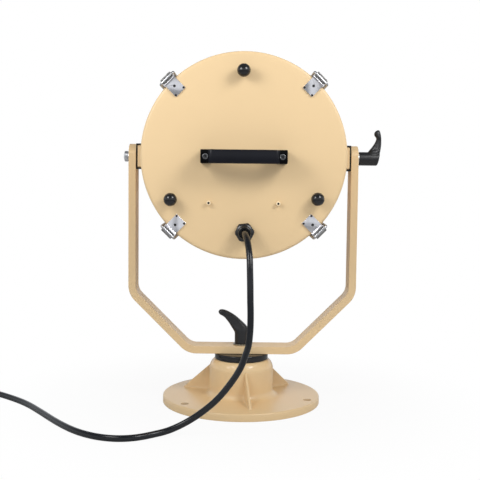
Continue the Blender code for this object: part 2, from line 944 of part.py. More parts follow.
# ------------------------------------------------------------------- latches
pin_y, pin_r = LATCH_PIVOT
eye_y, eye_r = BAIL_PIVOT
bar_y, bar_r = BAIL_BAR
for number, angle in LATCH_ANGLES.items():
    # Local X runs along the rim, local Y forwards and local Z outwards.
    lie = HEAD @ Matrix.Rotation(math.radians(90 - angle), 4, "Y")
    keeper = flat(
        f"latch_catch_{number}",
        [
            (-9.4, 141.0), (9.4, 141.0), (10.6, 142.2), (10.6, 176.0), (9.6, 177.0),
            (-9.6, 177.0), (-10.6, 176.0), (-10.6, 142.2),
        ],
        115.3,
        117.0,
        lie @ Matrix(((1, 0, 0, 0), (0, 0, -1, 0), (0, 1, 0, 0), (0, 0, 0, 1))),
        holes=[circle(0, 154.8, 1.7, 10), circle(-7.6, 144.2, 1.5, 10), circle(7.6, 144.2, 1.5, 10)],
    )
    ridge = flat(
        f"latch_ridge_{number}",
        [(160.6, 116.4), (160.6, 117.1), (164.4, 117.6), (165.6, 120.8), (167.2, 120.8), (167.2, 116.4)],
        -10.3,
        10.3,
        lie @ Matrix(((0, 0, 1, 0), (0, -1, 0, 0), (1, 0, 0, 0), (0, 0, 0, 1))),
        group=CUTTERS,
    )
    join(keeper, ridge)
    steel(keeper)

    seat = lie @ at(0, pin_y, pin_r)
    ears = flat(
        f"latch_base_{number}",
        [
            (-11.0, -9.2), (11.0, -9.2), (11.0, 3.4), (10.0, 4.4), (9.1, 4.4), (9.1, -7.2),
            (-9.1, -7.2), (-9.1, 4.4), (-10.0, 4.4), (-11.0, 3.4),
        ],
        -6.0,
        6.0,
        seat @ ALONG_BACK,
    )
    foot = flat(
        f"latch_foot_{number}",
        [(-10.6, -12.0), (10.6, -12.0), (10.6, 20.0), (8.6, 22.0), (-8.6, 22.0), (-10.6, 20.0)],
        -9.1,
        -7.5,
        seat,
        group=CUTTERS,
    )
    join(ears, foot)
    join(ears, rod(f"latch_pin_{number}", 2.0, 20.2, seat @ at(-10.1, 0, 0) @ ALONG_X, 12))
    steel(ears)

    lever = flat(
        f"latch_lever_{number}",
        [
            (-3.6, -3.2), (-4.6, 0.0), (-3.2, 3.6), (2.0, 5.0), (20.0, 4.7), (35.0, 3.9),
            (43.5, 5.8), (45.2, 3.9), (36.0, 1.3), (24.0, 0.6), (17.0, -4.0), (8.0, -4.7),
            (0.0, -4.7),
        ],
        -8.6,
        8.6,
        seat @ Matrix(((0, 0, 1, 0), (1, 0, 0, 0), (0, 1, 0, 0), (0, 0, 0, 1))),
        holes=[circle(0, 0, 2.4, 12), circle(eye_y - pin_y, eye_r - pin_r, 2.6, 12)],
    )
    steel(lever)

    bail = tube(
        f"latch_bail_{number}",
        rounded(
            [
                (-6.6, 0, 0), (-13.7, 0, 0), (-13.7, bar_y - eye_y, bar_r - eye_r),
                (13.7, bar_y - eye_y, bar_r - eye_r), (13.7, 0, 0), (6.6, 0, 0),
            ],
            3.5,
            3,
        ),
        BAIL_WIRE_R,
        1,
        lie @ at(0, eye_y, eye_r),
    )
    steel(bail)

# ---------------------------------------------------------------------- cord
exit_y = COVER_Y - 23.5
drop = [
    (GLAND_X, exit_y, lead_z),
    (2.6, -150.0, 303.1),
    (4.2, -161.5, 299.8),
    (6.8, -173.0, 292.4),
    (9.8, -190.0, 272.5),
    (10.6, -199.5, 251.5),
    (11.2, -204.0, 230.0),
    (11.6, -206.0, 207.6),
    (12.2, -207.0, 185.0),
    (11.9, -207.5, 163.0),
    (9.9, -207.5, 140.2),
    (6.0, -207.5, 126.6),
]
lay = [
    (6.0, -207.5, 126.6),
    (-2.4, -207.5, 103.5),
    (-18.0, -207.5, 78.8),
    (-37.8, -207.5, 54.8),
    (-61.9, -207.5, 34.2),
    (-86.0, -208.5, 18.8),
    (-109.6, -213.5, 9.0),
    (-132.6, -224.0, 5.6),
    (-154.9, -238.0, 5.2),
    (-177.8, -244.0, 5.2),
    (-202.0, -240.6, 5.2),
    (-227.8, -227.8, 5.2),
    (-256.3, -203.2, 5.2),
    (-289.3, -162.4, 5.2),
    (-327.7, -106.4, 5.2),
    (-357.5, -64.6, 5.2),
    (-386.3, -32.3, 5.2),
    (-423.2, 1.3, 5.2),
    (-450.0, 19.6, 5.4),
    (-472.0, 28.2, 5.8),
    (-491.0, 31.4, 6.2),
]
route = smooth(drop + lay[1:], 20.0)
split = min(range(len(route)), key=lambda i: (route[i] - Vector(lay[0])).length)
upper, lower = route[: split + 1], route[split:]
upper[-1] = upper[-1] + (upper[-2] - upper[-1]).normalized() * 1.6
cord_upper = tube("cord_upper", upper, CORD_R, 2)
rubber(cord_upper)
cord_lower = tube("cord_lower", lower, CORD_R, 2)
rubber(cord_lower)

coil_x, coil_y = COIL
coil = turned(
    "cord_coil",
    [
        (COIL_R - 10.0, 4.0), (COIL_R - 7.5, 1.6), (COIL_R + 7.5, 1.6), (COIL_R + 10.0, 4.0),
        (COIL_R + 10.0, 9.0), (COIL_R + 4.5, 18.0), (COIL_R + 2.0, 20.0), (COIL_R - 2.0, 20.0),
        (COIL_R - 4.5, 18.0), (COIL_R - 10.0, 9.0),
    ],
    28,
    at(coil_x, coil_y, 0),
)
rubber(coil)
tie = flat(
    "cord_tie",
    [
        (COIL_R - 11.6, 0.1), (COIL_R + 11.6, 0.1), (COIL_R + 11.6, 9.6),
        (COIL_R + 4.0, 21.5), (COIL_R - 4.0, 21.5), (COIL_R - 11.6, 9.6),
    ],
    -6.0,
    6.0,
    at(coil_x, coil_y, 0)
    @ Matrix.Rotation(math.radians(20), 4, "Z")
    @ Matrix.Rotation(math.radians(90), 4, "X"),
    holes=[
        [
            (COIL_R - 10.7, 1.2), (COIL_R + 10.5, 1.2), (COIL_R + 10.5, 9.3),
            (COIL_R + 3.4, 20.4), (COIL_R - 3.4, 20.4), (COIL_R - 10.7, 9.3),
        ]
    ],
)
finish(tie, (0.05, 0.05, 0.05), 0.7, 0.0)

plug_at = at(coil_x - COIL_R, coil_y + 47.0, 18.8) @ ALONG_Y
plug = turned(
    "plug",
    [
        (0, 0), (6.8, 0), (8.6, 20.0), (15.0, 27.0), (18.4, 34.0),
        (18.4, 62.0), (17.4, 63.0), (0, 63.0),
    ],
    20,
    plug_at,
)
for side in (-1, 1):
    join(
        plug,
        turned(
            f"plug_pin_{side}",
            [(0, 55.0), (2.4, 55.0), (2.4, 80.5), (1.2, 82.0), (0, 82.0)],
            12,
            plug_at @ at(side * 9.5, 0, 0),
            CUTTERS,
        ),
    )
rubber(plug)

# ---------------------------------------------------------------- joint axes
def axis_empty(name, matrix, carrier, *members):
    """An empty on a joint's axis, carrying the pieces that turn about it."""
    empty = bpy.data.objects.new(name, None)
    empty.empty_display_size = 0.03
    PARTS.objects.link(empty)
    empty.matrix_world = matrix
    bpy.context.view_layer.update()
    for obj in members:
        obj.parent = empty
        obj.matrix_parent_inverse = empty.matrix_world.inverted()
    if carrier is not None:
        empty.parent = carrier
        empty.matrix_parent_inverse = carrier.matrix_world.inverted()
    return empty


bpy.context.view_layer.update()
named = bpy.data.objects
pan_axis = axis_empty(
    "pan_axis", at(0, 0, CROSS_Z), None, yoke, washer, right_washer, cord_upper
)
axis_empty("pan_lever_axis", at(0, 0, lever_seat), None, pan_lever)
head_names = (
    "drum_shell trunnion_left trunnion_right friction_pad_left friction_pad_right "
    "pivot_bolt pivot_nut pivot_washer front_bezel lens_gasket lens reflector lamp "
    "lamp_holder lamp_carrier inner_lead rear_cover cover_gasket handle "
    "handle_screw_left handle_screw_right gland_body gland_nut gland_locknut "
    "standoff_left standoff_right"
).split()
for number in LATCH_ANGLES:
    head_names += [f"latch_catch_{number}", f"latch_base_{number}"]
tilt_axis = axis_empty("tilt_axis", HEAD, pan_axis, *(named[n] for n in head_names))
axis_empty("tilt_lever_axis", HEAD, tilt_axis, tilt_lever, tilt_stud)
for number, angle in LATCH_ANGLES.items():
    lie = HEAD @ Matrix.Rotation(math.radians(90 - angle), 4, "Y")
    lever_axis = axis_empty(
        f"latch_axis_{number}", lie @ at(0, pin_y, pin_r), tilt_axis, named[f"latch_lever_{number}"]
    )
    axis_empty(
        f"bail_axis_{number}", lie @ at(0, eye_y, eye_r), lever_axis, named[f"latch_bail_{number}"]
    )
for name in KNOB_ANGLES:
    axis_empty(
        f"{name}_axis",
        on_cover(*knob_place(name)),
        tilt_axis,
        named[name],
    )

for obj in PARTS.objects:
    if obj.type == "MESH":
        obj.data.shade_smooth()
        obj.data.set_sharp_from_angle(angle=math.radians(35))
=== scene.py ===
"""Looks of the yoke-mounted searchlight: finishes, fine meshes, cord, light and camera.

Metres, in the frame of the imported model: +Z up, the rear cover faces -Y.
"""

import json
import math

import bmesh
import bpy
import numpy as np
from mathutils import Matrix, Vector


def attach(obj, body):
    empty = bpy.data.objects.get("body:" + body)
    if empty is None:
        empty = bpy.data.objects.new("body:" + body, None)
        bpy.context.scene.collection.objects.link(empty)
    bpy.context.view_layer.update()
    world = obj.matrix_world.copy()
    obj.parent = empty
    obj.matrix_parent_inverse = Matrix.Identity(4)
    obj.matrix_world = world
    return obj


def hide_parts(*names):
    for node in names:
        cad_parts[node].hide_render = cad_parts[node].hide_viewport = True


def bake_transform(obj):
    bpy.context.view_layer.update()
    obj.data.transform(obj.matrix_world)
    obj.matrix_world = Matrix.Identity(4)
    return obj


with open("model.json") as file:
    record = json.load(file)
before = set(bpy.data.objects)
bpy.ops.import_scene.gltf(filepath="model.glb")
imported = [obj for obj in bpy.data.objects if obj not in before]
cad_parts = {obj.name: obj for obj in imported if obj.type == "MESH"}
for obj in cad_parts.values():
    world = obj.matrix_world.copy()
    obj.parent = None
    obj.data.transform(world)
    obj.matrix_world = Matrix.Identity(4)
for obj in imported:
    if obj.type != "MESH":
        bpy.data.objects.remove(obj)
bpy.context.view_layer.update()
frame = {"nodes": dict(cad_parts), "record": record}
NODES = frame["nodes"]

MM = 0.001
AXIS_Z = 425.0
COVER_Y = -115.0


# ------------------------------------------------------------------ materials
def surface(
    name,
    colour,
    roughness,
    metallic=0.0,
    mottle=0.03,
    mottle_scale=9.0,
    grain=0.05,
    grain_scale=900.0,
    vary=0.05,
    stretch=(1.0, 1.0, 1.0),
    coarse=0.0,
    coarse_scale=200.0,
    specular=0.5,
    coat=0.0,
):
    """A finish with mottled colour, uneven roughness and a fine bump, in object space."""
    made = bpy.data.materials.new(name)
    made.use_nodes = True
    tree = made.node_tree
    nodes, links = tree.nodes, tree.links
    shader = nodes["Principled BSDF"]
    shader.inputs["Metallic"].default_value = metallic
    shader.inputs["Specular IOR Level"].default_value = specular
    shader.inputs["Coat Weight"].default_value = coat
    shader.inputs["Coat Roughness"].default_value = 0.15
    where = nodes.new("ShaderNodeTexCoord")
    mapping = nodes.new("ShaderNodeMapping")
    mapping.inputs["Scale"].default_value = stretch
    links.new(where.outputs["Object"], mapping.inputs["Vector"])

    def noise(scale, detail, rough=0.55):
        node = nodes.new("ShaderNodeTexNoise")
        node.inputs["Scale"].default_value = scale
        node.inputs["Detail"].default_value = detail
        node.inputs["Roughness"].default_value = rough
        links.new(mapping.outputs["Vector"], node.inputs["Vector"])
        return node

    cloud = noise(mottle_scale, 4.0)
    ramp = nodes.new("ShaderNodeValToRGB")
    ramp.color_ramp.elements[0].position = 0.3
    ramp.color_ramp.elements[1].position = 0.7
    ramp.color_ramp.elements[0].color = (*[c * (1 - mottle) for c in colour], 1)
    ramp.color_ramp.elements[1].color = (*[min(1, c * (1 + mottle)) for c in colour], 1)
    links.new(cloud.outputs["Fac"], ramp.inputs["Fac"])
    links.new(ramp.outputs["Color"], shader.inputs["Base Color"])

    fine = noise(grain_scale, 3.0, 0.6)
    ranged = nodes.new("ShaderNodeMapRange")
    ranged.inputs["From Min"].default_value = 0.3
    ranged.inputs["From Max"].default_value = 0.7
    ranged.inputs["To Min"].default_value = max(0.02, roughness - vary)
    ranged.inputs["To Max"].default_value = min(1.0, roughness + vary)
    smudge = noise(mottle_scale * 6, 3.0)
    links.new(smudge.outputs["Fac"], ranged.inputs["Value"])
    links.new(ranged.outputs["Result"], shader.inputs["Roughness"])

    bump = nodes.new("ShaderNodeBump")
    bump.inputs["Strength"].default_value = grain
    bump.inputs["Distance"].default_value = 0.0004
    links.new(fine.outputs["Fac"], bump.inputs["Height"])
    last = bump
    if coarse:
        pebble = noise(coarse_scale, 2.0, 0.5)
        second = nodes.new("ShaderNodeBump")
        second.inputs["Strength"].default_value = coarse
        second.inputs["Distance"].default_value = 0.0012
        links.new(pebble.outputs["Fac"], second.inputs["Height"])
        links.new(bump.outputs["Normal"], second.inputs["Normal"])
        last = second
    links.new(last.outputs["Normal"], shader.inputs["Normal"])
    return made


TAN = (0.80, 0.582, 0.322)
PAINT = surface("tan_paint", TAN, 0.42, mottle=0.012, mottle_scale=7, grain=0.02, grain_scale=700)
CAST_PAINT = surface(
    "tan_cast_paint", TAN, 0.3, mottle=0.01, mottle_scale=9, grain=0.006, grain_scale=420, vary=0.015,
)
CAST_EDGE = surface(
    "tan_cast_edge", TAN, 0.22, mottle=0.03, mottle_scale=40, grain=0.1, grain_scale=520,
    coarse=0.6, coarse_scale=200,
)
BLACK = surface(
    "black_moulding", (0.0085, 0.0088, 0.0102), 0.4, mottle=0.12, mottle_scale=30,
    grain=0.12, grain_scale=1500, vary=0.06,
)
GRIP = surface(
    "black_grip", (0.0032, 0.0036, 0.0072), 0.32, mottle=0.12, mottle_scale=30, specular=0.26,
    grain=0.08, grain_scale=1700, vary=0.03,
)
# Darker, less glossy copy of the grip moulding for the end blocks: painted shade.
GRIP_END_SHADE = surface(
    "black_grip_end_painted_shade", (0.002, 0.002, 0.0022), 0.4, mottle=0.12, mottle_scale=30, specular=0.06,
    grain=0.08, grain_scale=1700, vary=0.05,
)
GLOSS = surface(
    "black_gloss", (0.008, 0.008, 0.009), 0.16, mottle=0.1, mottle_scale=30,
    grain=0.02, grain_scale=900, vary=0.05,
)
GLAND = surface(
    "black_gland", (0.007, 0.007, 0.0075), 0.3, mottle=0.1, mottle_scale=30,
    grain=0.03, grain_scale=900, vary=0.015, specular=0.6,
)
RUBBER = surface(
    "black_rubber", (0.006, 0.006, 0.0068), 0.62, mottle=0.14, mottle_scale=25,
    grain=0.1, grain_scale=1300, vary=0.06, specular=0.3,
)
CORD = surface(
    "black_cord_sheath", (0.0048, 0.0064, 0.0095), 0.24, mottle=0.15, mottle_scale=18,
    grain=0.04, grain_scale=1400, vary=0.02, specular=0.42,
)
STAINLESS = surface(
    "stainless", (0.74, 0.735, 0.76), 0.34, metallic=1.0, mottle=0.05, mottle_scale=40,
    grain=0.05, grain_scale=500, vary=0.06, stretch=(4.0, 0.8, 1.0),
)
WIRE = surface(
    "latch_wire", (0.5, 0.5, 0.51), 0.3, metallic=1.0, mottle=0.06, mottle_scale=50,
    grain=0.04, grain_scale=700, vary=0.015,
)
DULL = surface(
    "dull_washer", (0.34, 0.31, 0.25), 0.42, metallic=1.0, mottle=0.08, mottle_scale=60,
    grain=0.06, grain_scale=700, vary=0.06,
)
KEEPER = surface(
    "pressed_keeper", (0.73, 0.722, 0.745), 0.24, metallic=1.0, mottle=0.06, mottle_scale=40,
    grain=0.03, grain_scale=500, vary=0.025, stretch=(4.0, 0.8, 1.0),
)
# Darker copy of the keeper steel for its lip past the ridge: painted shade.
KEEPER_LIP_SHADE = surface(
    "keeper_lip_painted_shade", (0.3, 0.29, 0.28), 0.34, metallic=1.0, mottle=0.25, mottle_scale=160,
    grain=0.08, grain_scale=500, vary=0.05,
)
SCREW = surface(
    "dark_screw", (0.17, 0.17, 0.175), 0.22, metallic=1.0, mottle=0.08, mottle_scale=90,
    grain=0.04, grain_scale=800, vary=0.05,
)
BRIGHT = surface(
    "bright_steel", (0.7, 0.7, 0.71), 0.2, metallic=1.0, mottle=0.05, mottle_scale=60,
    grain=0.05, grain_scale=800, vary=0.07,
)
SHEET = surface(
    "plain_sheet", (0.7, 0.7, 0.7), 0.38, metallic=1.0, mottle=0.04, mottle_scale=20,
    grain=0.08, grain_scale=600, stretch=(1.0, 1.0, 8.0),
)
MIRROR = surface(
    "polished_reflector", (0.9, 0.9, 0.9), 0.06, metallic=1.0, mottle=0.01, mottle_scale=20,
    grain=0.01, grain_scale=300, vary=0.02,
)
POST = surface("pale_post", (0.9, 0.72, 0.47), 0.35, mottle=0.02, mottle_scale=60, grain=0.03)
RIVET = surface(
    "dark_rivet", (0.03, 0.024, 0.02), 0.35, metallic=0.6, mottle=0.15, mottle_scale=90, grain=0.05
)
# Darker brown for the bolt-hole walls: painted shade inside the holes.
HOLE_WALL_SHADE = surface("hole_wall_painted_shade", (0.66, 0.49, 0.30), 0.7, mottle=0.1, mottle_scale=60)
# Near-black for the insides of small holes and sockets: painted shade.
RECESS_SHADE = surface("recess_painted_shade", (0.012, 0.012, 0.013), 0.5, mottle=0.1, mottle_scale=90)
CERAMIC = surface("ceramic", (0.8, 0.77, 0.72), 0.55, mottle=0.04, mottle_scale=40, grain=0.1)


def glass(name, tint, roughness):
    made = surface(name, tint, roughness, mottle=0.01, grain=0.01, vary=0.01)
    made.node_tree.nodes["Principled BSDF"].inputs["Transmission Weight"].default_value = 1.0
    made.node_tree.nodes["Principled BSDF"].inputs["IOR"].default_value = 1.5
    return made


LENS_GLASS = glass("lens_glass", (0.94, 0.97, 0.96), 0.03)
LAMP_GLASS = glass("lamp_glass", (0.97, 0.97, 0.95), 0.06)

FINISH = {
    "base_casting": CAST_PAINT, "bearing_ring": GLOSS, "pan_stud": BRIGHT, "yoke": PAINT,
    "pan_washer": BRIGHT, "tilt_washer": BRIGHT, "drum_shell": PAINT,
    "trunnion_left": PAINT, "trunnion_right": PAINT, "friction_pad_left": RUBBER,
    "friction_pad_right": RUBBER, "pivot_bolt": BRIGHT, "pivot_nut": BRIGHT,
    "pivot_washer": BRIGHT, "front_bezel": PAINT, "lens_gasket": RUBBER, "lens": LENS_GLASS,
    "reflector": MIRROR, "lamp": LAMP_GLASS, "lamp_holder": CERAMIC, "lamp_carrier": SHEET,
    "inner_lead": RUBBER, "rear_cover": PAINT, "cover_gasket": RUBBER, "handle": GRIP,
    "handle_screw_left": BRIGHT, "handle_screw_right": BRIGHT, "gland_body": GLOSS,
    "gland_nut": GLOSS, "gland_locknut": GLOSS, "standoff_left": PAINT,
    "standoff_right": PAINT, "pan_lever": BLACK, "tilt_lever": BLACK, "tilt_stud": BRIGHT,
    "knob_top": GLOSS, "knob_left": GLOSS, "knob_right": GLOSS,
    "cord_upper": CORD, "cord_lower": CORD, "cord_coil": CORD, "cord_tie": RUBBER, "plug": RUBBER,
}
for node in NODES:
    if node.startswith("latch_"):
        FINISH[node] = STAINLESS
for node, obj in NODES.items():
    obj.data.materials.clear()
    obj.data.materials.append(FINISH[node])


# -------------------------------------------------------------------- helpers
def add(name, mesh, material, matrix=None, angle=32):
    obj = bpy.data.objects.new(name, mesh)
    bpy.context.scene.collection.objects.link(obj)
    if matrix is not None:
        obj.matrix_world = matrix
    mesh.materials.clear()
    mesh.materials.append(material)
    mesh.shade_smooth()
    mesh.set_sharp_from_angle(angle=math.radians(angle))
    return obj


def smooth(points, spacing, tension=0.5):
    """Points at an even spacing on a smooth curve through the given ones."""
    points = [Vector(p) for p in points]
    padded = [points[0] * 2 - points[1], *points, points[-1] * 2 - points[-2]]
    fine = []
    for p0, p1, p2, p3 in zip(padded, padded[1:], padded[2:], padded[3:]):
        for i in range(24):
            t = i / 24
            fine.append(
                (
                    p1 * 2
                    + (p2 - p0) * t
                    + (p0 * 2 - p1 * 5 + p2 * 4 - p3) * t**2
                    + (p1 * 3 - p0 - p2 * 3 + p3) * t**3
                )
                / 2
            )
    fine.append(points[-1])
    return even(fine, spacing)


def even(fine, spacing):
    lengths = [0.0]
    for a, b in zip(fine, fine[1:]):
        lengths.append(lengths[-1] + (b - a).length)
    count = max(2, round(lengths[-1] / spacing))
    made, k = [], 0
    for i in range(count + 1):
        want = lengths[-1] * i / count
        while k < len(fine) - 2 and lengths[k + 1] < want:
            k += 1
        share = (want - lengths[k]) / max(1e-9, lengths[k + 1] - lengths[k])
        made.append(fine[k].lerp(fine[k + 1], min(1.0, share)))
    return made


def tube(name, path, radius, sides, material):
    """A closed tube along a path, in metres, with rings that don't twist."""
    path = [Vector(p) for p in path]
    tangents = []
    for i in range(len(path)):
        tangents.append((path[min(i + 1, len(path) - 1)] - path[max(i - 1, 0)]).normalized())
    side = tangents[0].cross(Vector((0, 0, 1)))
    if side.length < 0.1:
        side = tangents[0].cross(Vector((1, 0, 0)))
    side.normalize()
    work = bmesh.new()
    rings = []
    for p, t in zip(path, tangents):
        side = (side - t * side.dot(t)).normalized()
        over = t.cross(side)
        rings.append(
            [
                work.verts.new(
                    p
                    + side * (radius * math.cos(math.tau * k / sides))
                    + over * (radius * math.sin(math.tau * k / sides))
                )
                for k in range(sides)
            ]
        )
    for a, b in zip(rings, rings[1:]):
        for k in range(sides):
            m = (k + 1) % sides
            work.faces.new((a[k], a[m], b[m], b[k]))
    for ring, p, t, way in ((rings[0], path[0], tangents[0], -1), (rings[-1], path[-1], tangents[-1], 1)):
        work.faces.new(ring[::-1] if way < 0 else ring)
    bmesh.ops.recalc_face_normals(work, faces=work.faces)
    mesh = bpy.data.meshes.new(name)
    work.to_mesh(mesh)
    work.free()
    return add(name, mesh, material, angle=50)


# ----------------------------------------------------------------------- cord
CORD_R = 0.005
LEAD_Z = AXIS_Z - 121.5
DROP = [
    (2.3, -136.6, LEAD_Z), (2.3, -141.0, LEAD_Z - 0.1),
    (2.6, -150.0, 303.1), (4.2, -161.5, 299.8), (6.8, -173.0, 292.4), (9.8, -190.0, 272.5),
    (10.6, -199.5, 251.5), (11.2, -204.0, 230.0), (11.6, -206.0, 207.6), (12.2, -207.0, 185.0),
    (11.9, -207.5, 163.0), (9.9, -207.5, 140.2), (6.0, -207.5, 126.6),
]
LAY = [
    (6.0, -207.5, 126.6), (-2.4, -207.5, 103.5), (-18.0, -207.5, 78.8), (-37.8, -207.5, 54.8),
    (-61.9, -207.5, 34.2), (-86.0, -208.5, 18.8), (-109.6, -213.5, 9.0), (-132.6, -224.0, 5.6),
    (-154.9, -238.0, 5.2), (-177.8, -244.0, 5.2), (-202.0, -240.6, 5.2), (-227.8, -227.8, 5.2),
    (-256.3, -203.2, 5.2), (-289.3, -162.4, 5.2), (-327.7, -106.4, 5.2), (-357.5, -64.6, 5.2),
    (-386.3, -32.3, 5.2), (-423.2, 1.3, 5.2), (-450.0, 19.6, 5.4), (-472.0, 28.2, 5.8),
    (-491.0, 31.4, 6.2),
]
COIL_X, COIL_Y = -532.0, 92.0


def ease(value, low, high):
    t = min(1.0, max(0.0, (value - low) / (high - low)))
    return t * t * (3 - 2 * t)


def coil_point(turned):
    """A point of the stored coil, a given number of degrees clockwise from its front."""
    radius = 60.0 - 10.0 * ease(turned, 300, 358) + 5.0 * ease(turned, 640, 716)
    height = 6.7 + 8.5 * ease(turned, 636, 716)
    angle = math.radians(-90.0 - turned)
    return (COIL_X + radius * math.cos(angle), COIL_Y + radius * math.sin(angle), height)


COIL = [coil_point(a) for a in range(0, 811, 15)]
TAIL = [
    (COIL_X - 55.0, COIL_Y + 14.0, 15.8), (COIL_X - 55.0, COIL_Y + 30.0, 17.6),
    (COIL_X - 55.0, COIL_Y + 47.0, 18.8), (COIL_X - 55.0, COIL_Y + 56.0, 18.8),
]
route = smooth(DROP + LAY[1:] + COIL + TAIL, 4.0)
split = min(range(len(route)), key=lambda i: (route[i] - Vector(LAY[0])).length)
upper = [p * MM for p in route[: split + 1]]
lower = [p * MM for p in route[split:]]


cord_upper = tube("cord_drop", upper, CORD_R, 20, CORD)
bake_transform(cord_upper)
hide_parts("cord_upper")
cord_lower = tube("cord_lay", lower, CORD_R, 20, CORD)
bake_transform(cord_lower)
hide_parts("cord_lower", "cord_coil")

# ----------------------------------------------------------------- mesh tools
BODY = {n: b for b, names in frame["record"]["behaviour"]["bodies"].items() for n in names}
ALONG_X = Matrix.Rotation(math.radians(90), 4, "Y")
ALONG_Y = Matrix.Rotation(math.radians(-90), 4, "X")
ALONG_BACK = Matrix.Rotation(math.radians(90), 4, "X")


def at(x, y, z):
    return Matrix.Translation(Vector((x, y, z)) * MM)


HEAD = at(0, 0, AXIS_Z)
FORWARD = HEAD @ ALONG_Y
OUT_LEFT = HEAD @ Matrix.Rotation(math.radians(-90), 4, "Y")
OUT_RIGHT = HEAD @ ALONG_X


def on_cover(x, up):
    return at(x, COVER_Y, AXIS_Z + up) @ ALONG_BACK


def placed(work, name, matrix):
    """A mesh in metres, in the frame, from a bmesh in mm."""
    bmesh.ops.transform(work, matrix=matrix @ Matrix.Scale(MM, 4), verts=work.verts)
    bmesh.ops.recalc_face_normals(work, faces=work.faces)
    mesh = bpy.data.meshes.new(name)
    work.to_mesh(mesh)
    work.free()
    return mesh


def stand_for(obj, *nodes):
    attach(obj, BODY[nodes[0]])
    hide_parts(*nodes)
    return obj


def fillet(points, radii, count=4, closed=True):
    """A flat outline with its corners turned into arcs."""
    made, total = [], len(points)
    for i, point in enumerate(points):
        radius = radii if isinstance(radii, (int, float)) else radii[i]
        if radius <= 0 or (not closed and i in (0, total - 1)):
            made.append(tuple(point))
            continue
        p = Vector(point)
        a, b = Vector(points[i - 1]) - p, Vector(points[(i + 1) % total]) - p
        room = 0.48 * min(a.length, b.length)
        a.normalize()
        b.normalize()
        half = a.angle(b) / 2
        if half > math.radians(88):
            made.append(tuple(point))
            continue
        reach = min(radius / math.tan(half), room)
        radius = reach * math.tan(half)
        centre = p + (a + b).normalized() * (radius / math.sin(half))
        start, end = p + a * reach - centre, p + b * reach - centre
        first = math.atan2(start.y, start.x)
        sweep = (math.atan2(end.y, end.x) - first + math.pi) % math.tau - math.pi
        for k in range(count + 1):
            turn = first + sweep * k / count
            made.append((centre.x + radius * math.cos(turn), centre.y + radius * math.sin(turn)))
    return made


def lathe(profile, steps, closed=False, phase=0.0):
    """A turned skin, from (radius, height) pairs along its section."""
    work, rings = bmesh.new(), []
    for r, h in profile:
        if r < 1e-6:
            rings.append([work.verts.new((0, 0, h))])
            continue
        rings.append(
            [
                work.verts.new(
                    (
                        r * math.cos(phase + math.tau * k / steps),
                        r * math.sin(phase + math.tau * k / steps),
                        h,
                    )
                )
                for k in range(steps)
            ]
        )
    pairs = list(zip(rings, rings[1:])) + ([(rings[-1], rings[0])] if closed else [])
    for a, b in pairs:
        for k in range(steps):
            m = (k + 1) % steps
            if len(a) == 1 and len(b) > 1:
                work.faces.new((a[0], b[k], b[m]))
            elif len(b) == 1 and len(a) > 1:
                work.faces.new((a[k], a[m], b[0]))
            elif len(a) > 1:
                work.faces.new((a[k], a[m], b[m], b[k]))
    return work


def prism(outline, low, high):
    work = bmesh.new()
    under = [work.verts.new((x, y, low)) for x, y in outline]
    over = [work.verts.new((x, y, high)) for x, y in outline]
    work.faces.new(under[::-1])
    work.faces.new(over)
    for i in range(len(outline)):
        j = (i + 1) % len(outline)
        work.faces.new((under[i], under[j], over[j], over[i]))
    return work


def skin(rings):
    """A skin over rings of points, closed at both ends."""
    work = bmesh.new()
    made = [[work.verts.new(p) for p in ring] for ring in rings]
    count = len(made[0])
    for a, b in zip(made, made[1:]):
        for i in range(count):
            j = (i + 1) % count
            work.faces.new((a[i], a[j], b[j], b[i]))
    for ring in (made[0], made[-1]):
        middle = work.verts.new(sum((v.co for v in ring), Vector()) / count)
        for i in range(count):
            work.faces.new((ring[i], ring[(i + 1) % count], middle))
    return work


def settle(obj):
    """Makes an object's modifiers its mesh."""
    bpy.context.view_layer.update()
    graph = bpy.context.evaluated_depsgraph_get()
    mesh = bpy.data.meshes.new_from_object(obj.evaluated_get(graph))
    old = obj.data
    obj.modifiers.clear()
    obj.data = mesh
    bpy.data.meshes.remove(old)
    return obj


def carve(obj, work, matrix, operation="DIFFERENCE", material=None):
    """Cuts, joins or keeps the overlap with another shape, at once."""
    mesh = placed(work, "tool", matrix)
    if material is not None:
        mesh.materials.append(material)
    tool = bpy.data.objects.new("tool", mesh)
    bpy.context.scene.collection.objects.link(tool)
    change = obj.modifiers.new("carve", "BOOLEAN")
    change.operation = operation
    change.solver = "EXACT"
    change.object = tool
    if material is not None:
        change.material_mode = "TRANSFER"
    settle(obj)
    bpy.data.objects.remove(tool, do_unlink=True)
    bpy.data.meshes.remove(mesh)
    return obj


def soften(obj, width, segments=3, angle=30):
    """Rounds an object's edges, in mm, and keeps its flat faces flat."""
    bevel = obj.modifiers.new("bevel", "BEVEL")
    bevel.width = width * MM
    bevel.segments = segments
    bevel.limit_method = "ANGLE"
    bevel.angle_limit = math.radians(angle)
    bevel.miter_outer = "MITER_ARC"
    settle(obj)
    obj.data.shade_smooth()
    obj.data.set_sharp_from_angle(angle=math.radians(40))
    weigh = obj.modifiers.new("weigh", "WEIGHTED_NORMAL")
    weigh.keep_sharp = True
    settle(obj)
    return obj


def hexagon(radius, low, high, chamfer, turn=0.0, keep=0.972):
    """A hexagon prism and the turned shape that takes its corners off."""
    flats = radius * math.cos(math.radians(30))
    slope, corner = (radius - flats) * 0.7, radius * keep
    body = prism(
        [
            (radius * math.cos(turn + math.tau * k / 6), radius * math.sin(turn + math.tau * k / 6))
            for k in range(6)
        ],
        low - 0.5,
        high + 0.5,
    )
    cone = lathe(
        [
            (0, low), (flats * chamfer, low), (corner, low + slope),
            (corner, high - slope), (flats * chamfer, high), (0, high),
        ],
        72,
    )
    return body, cone


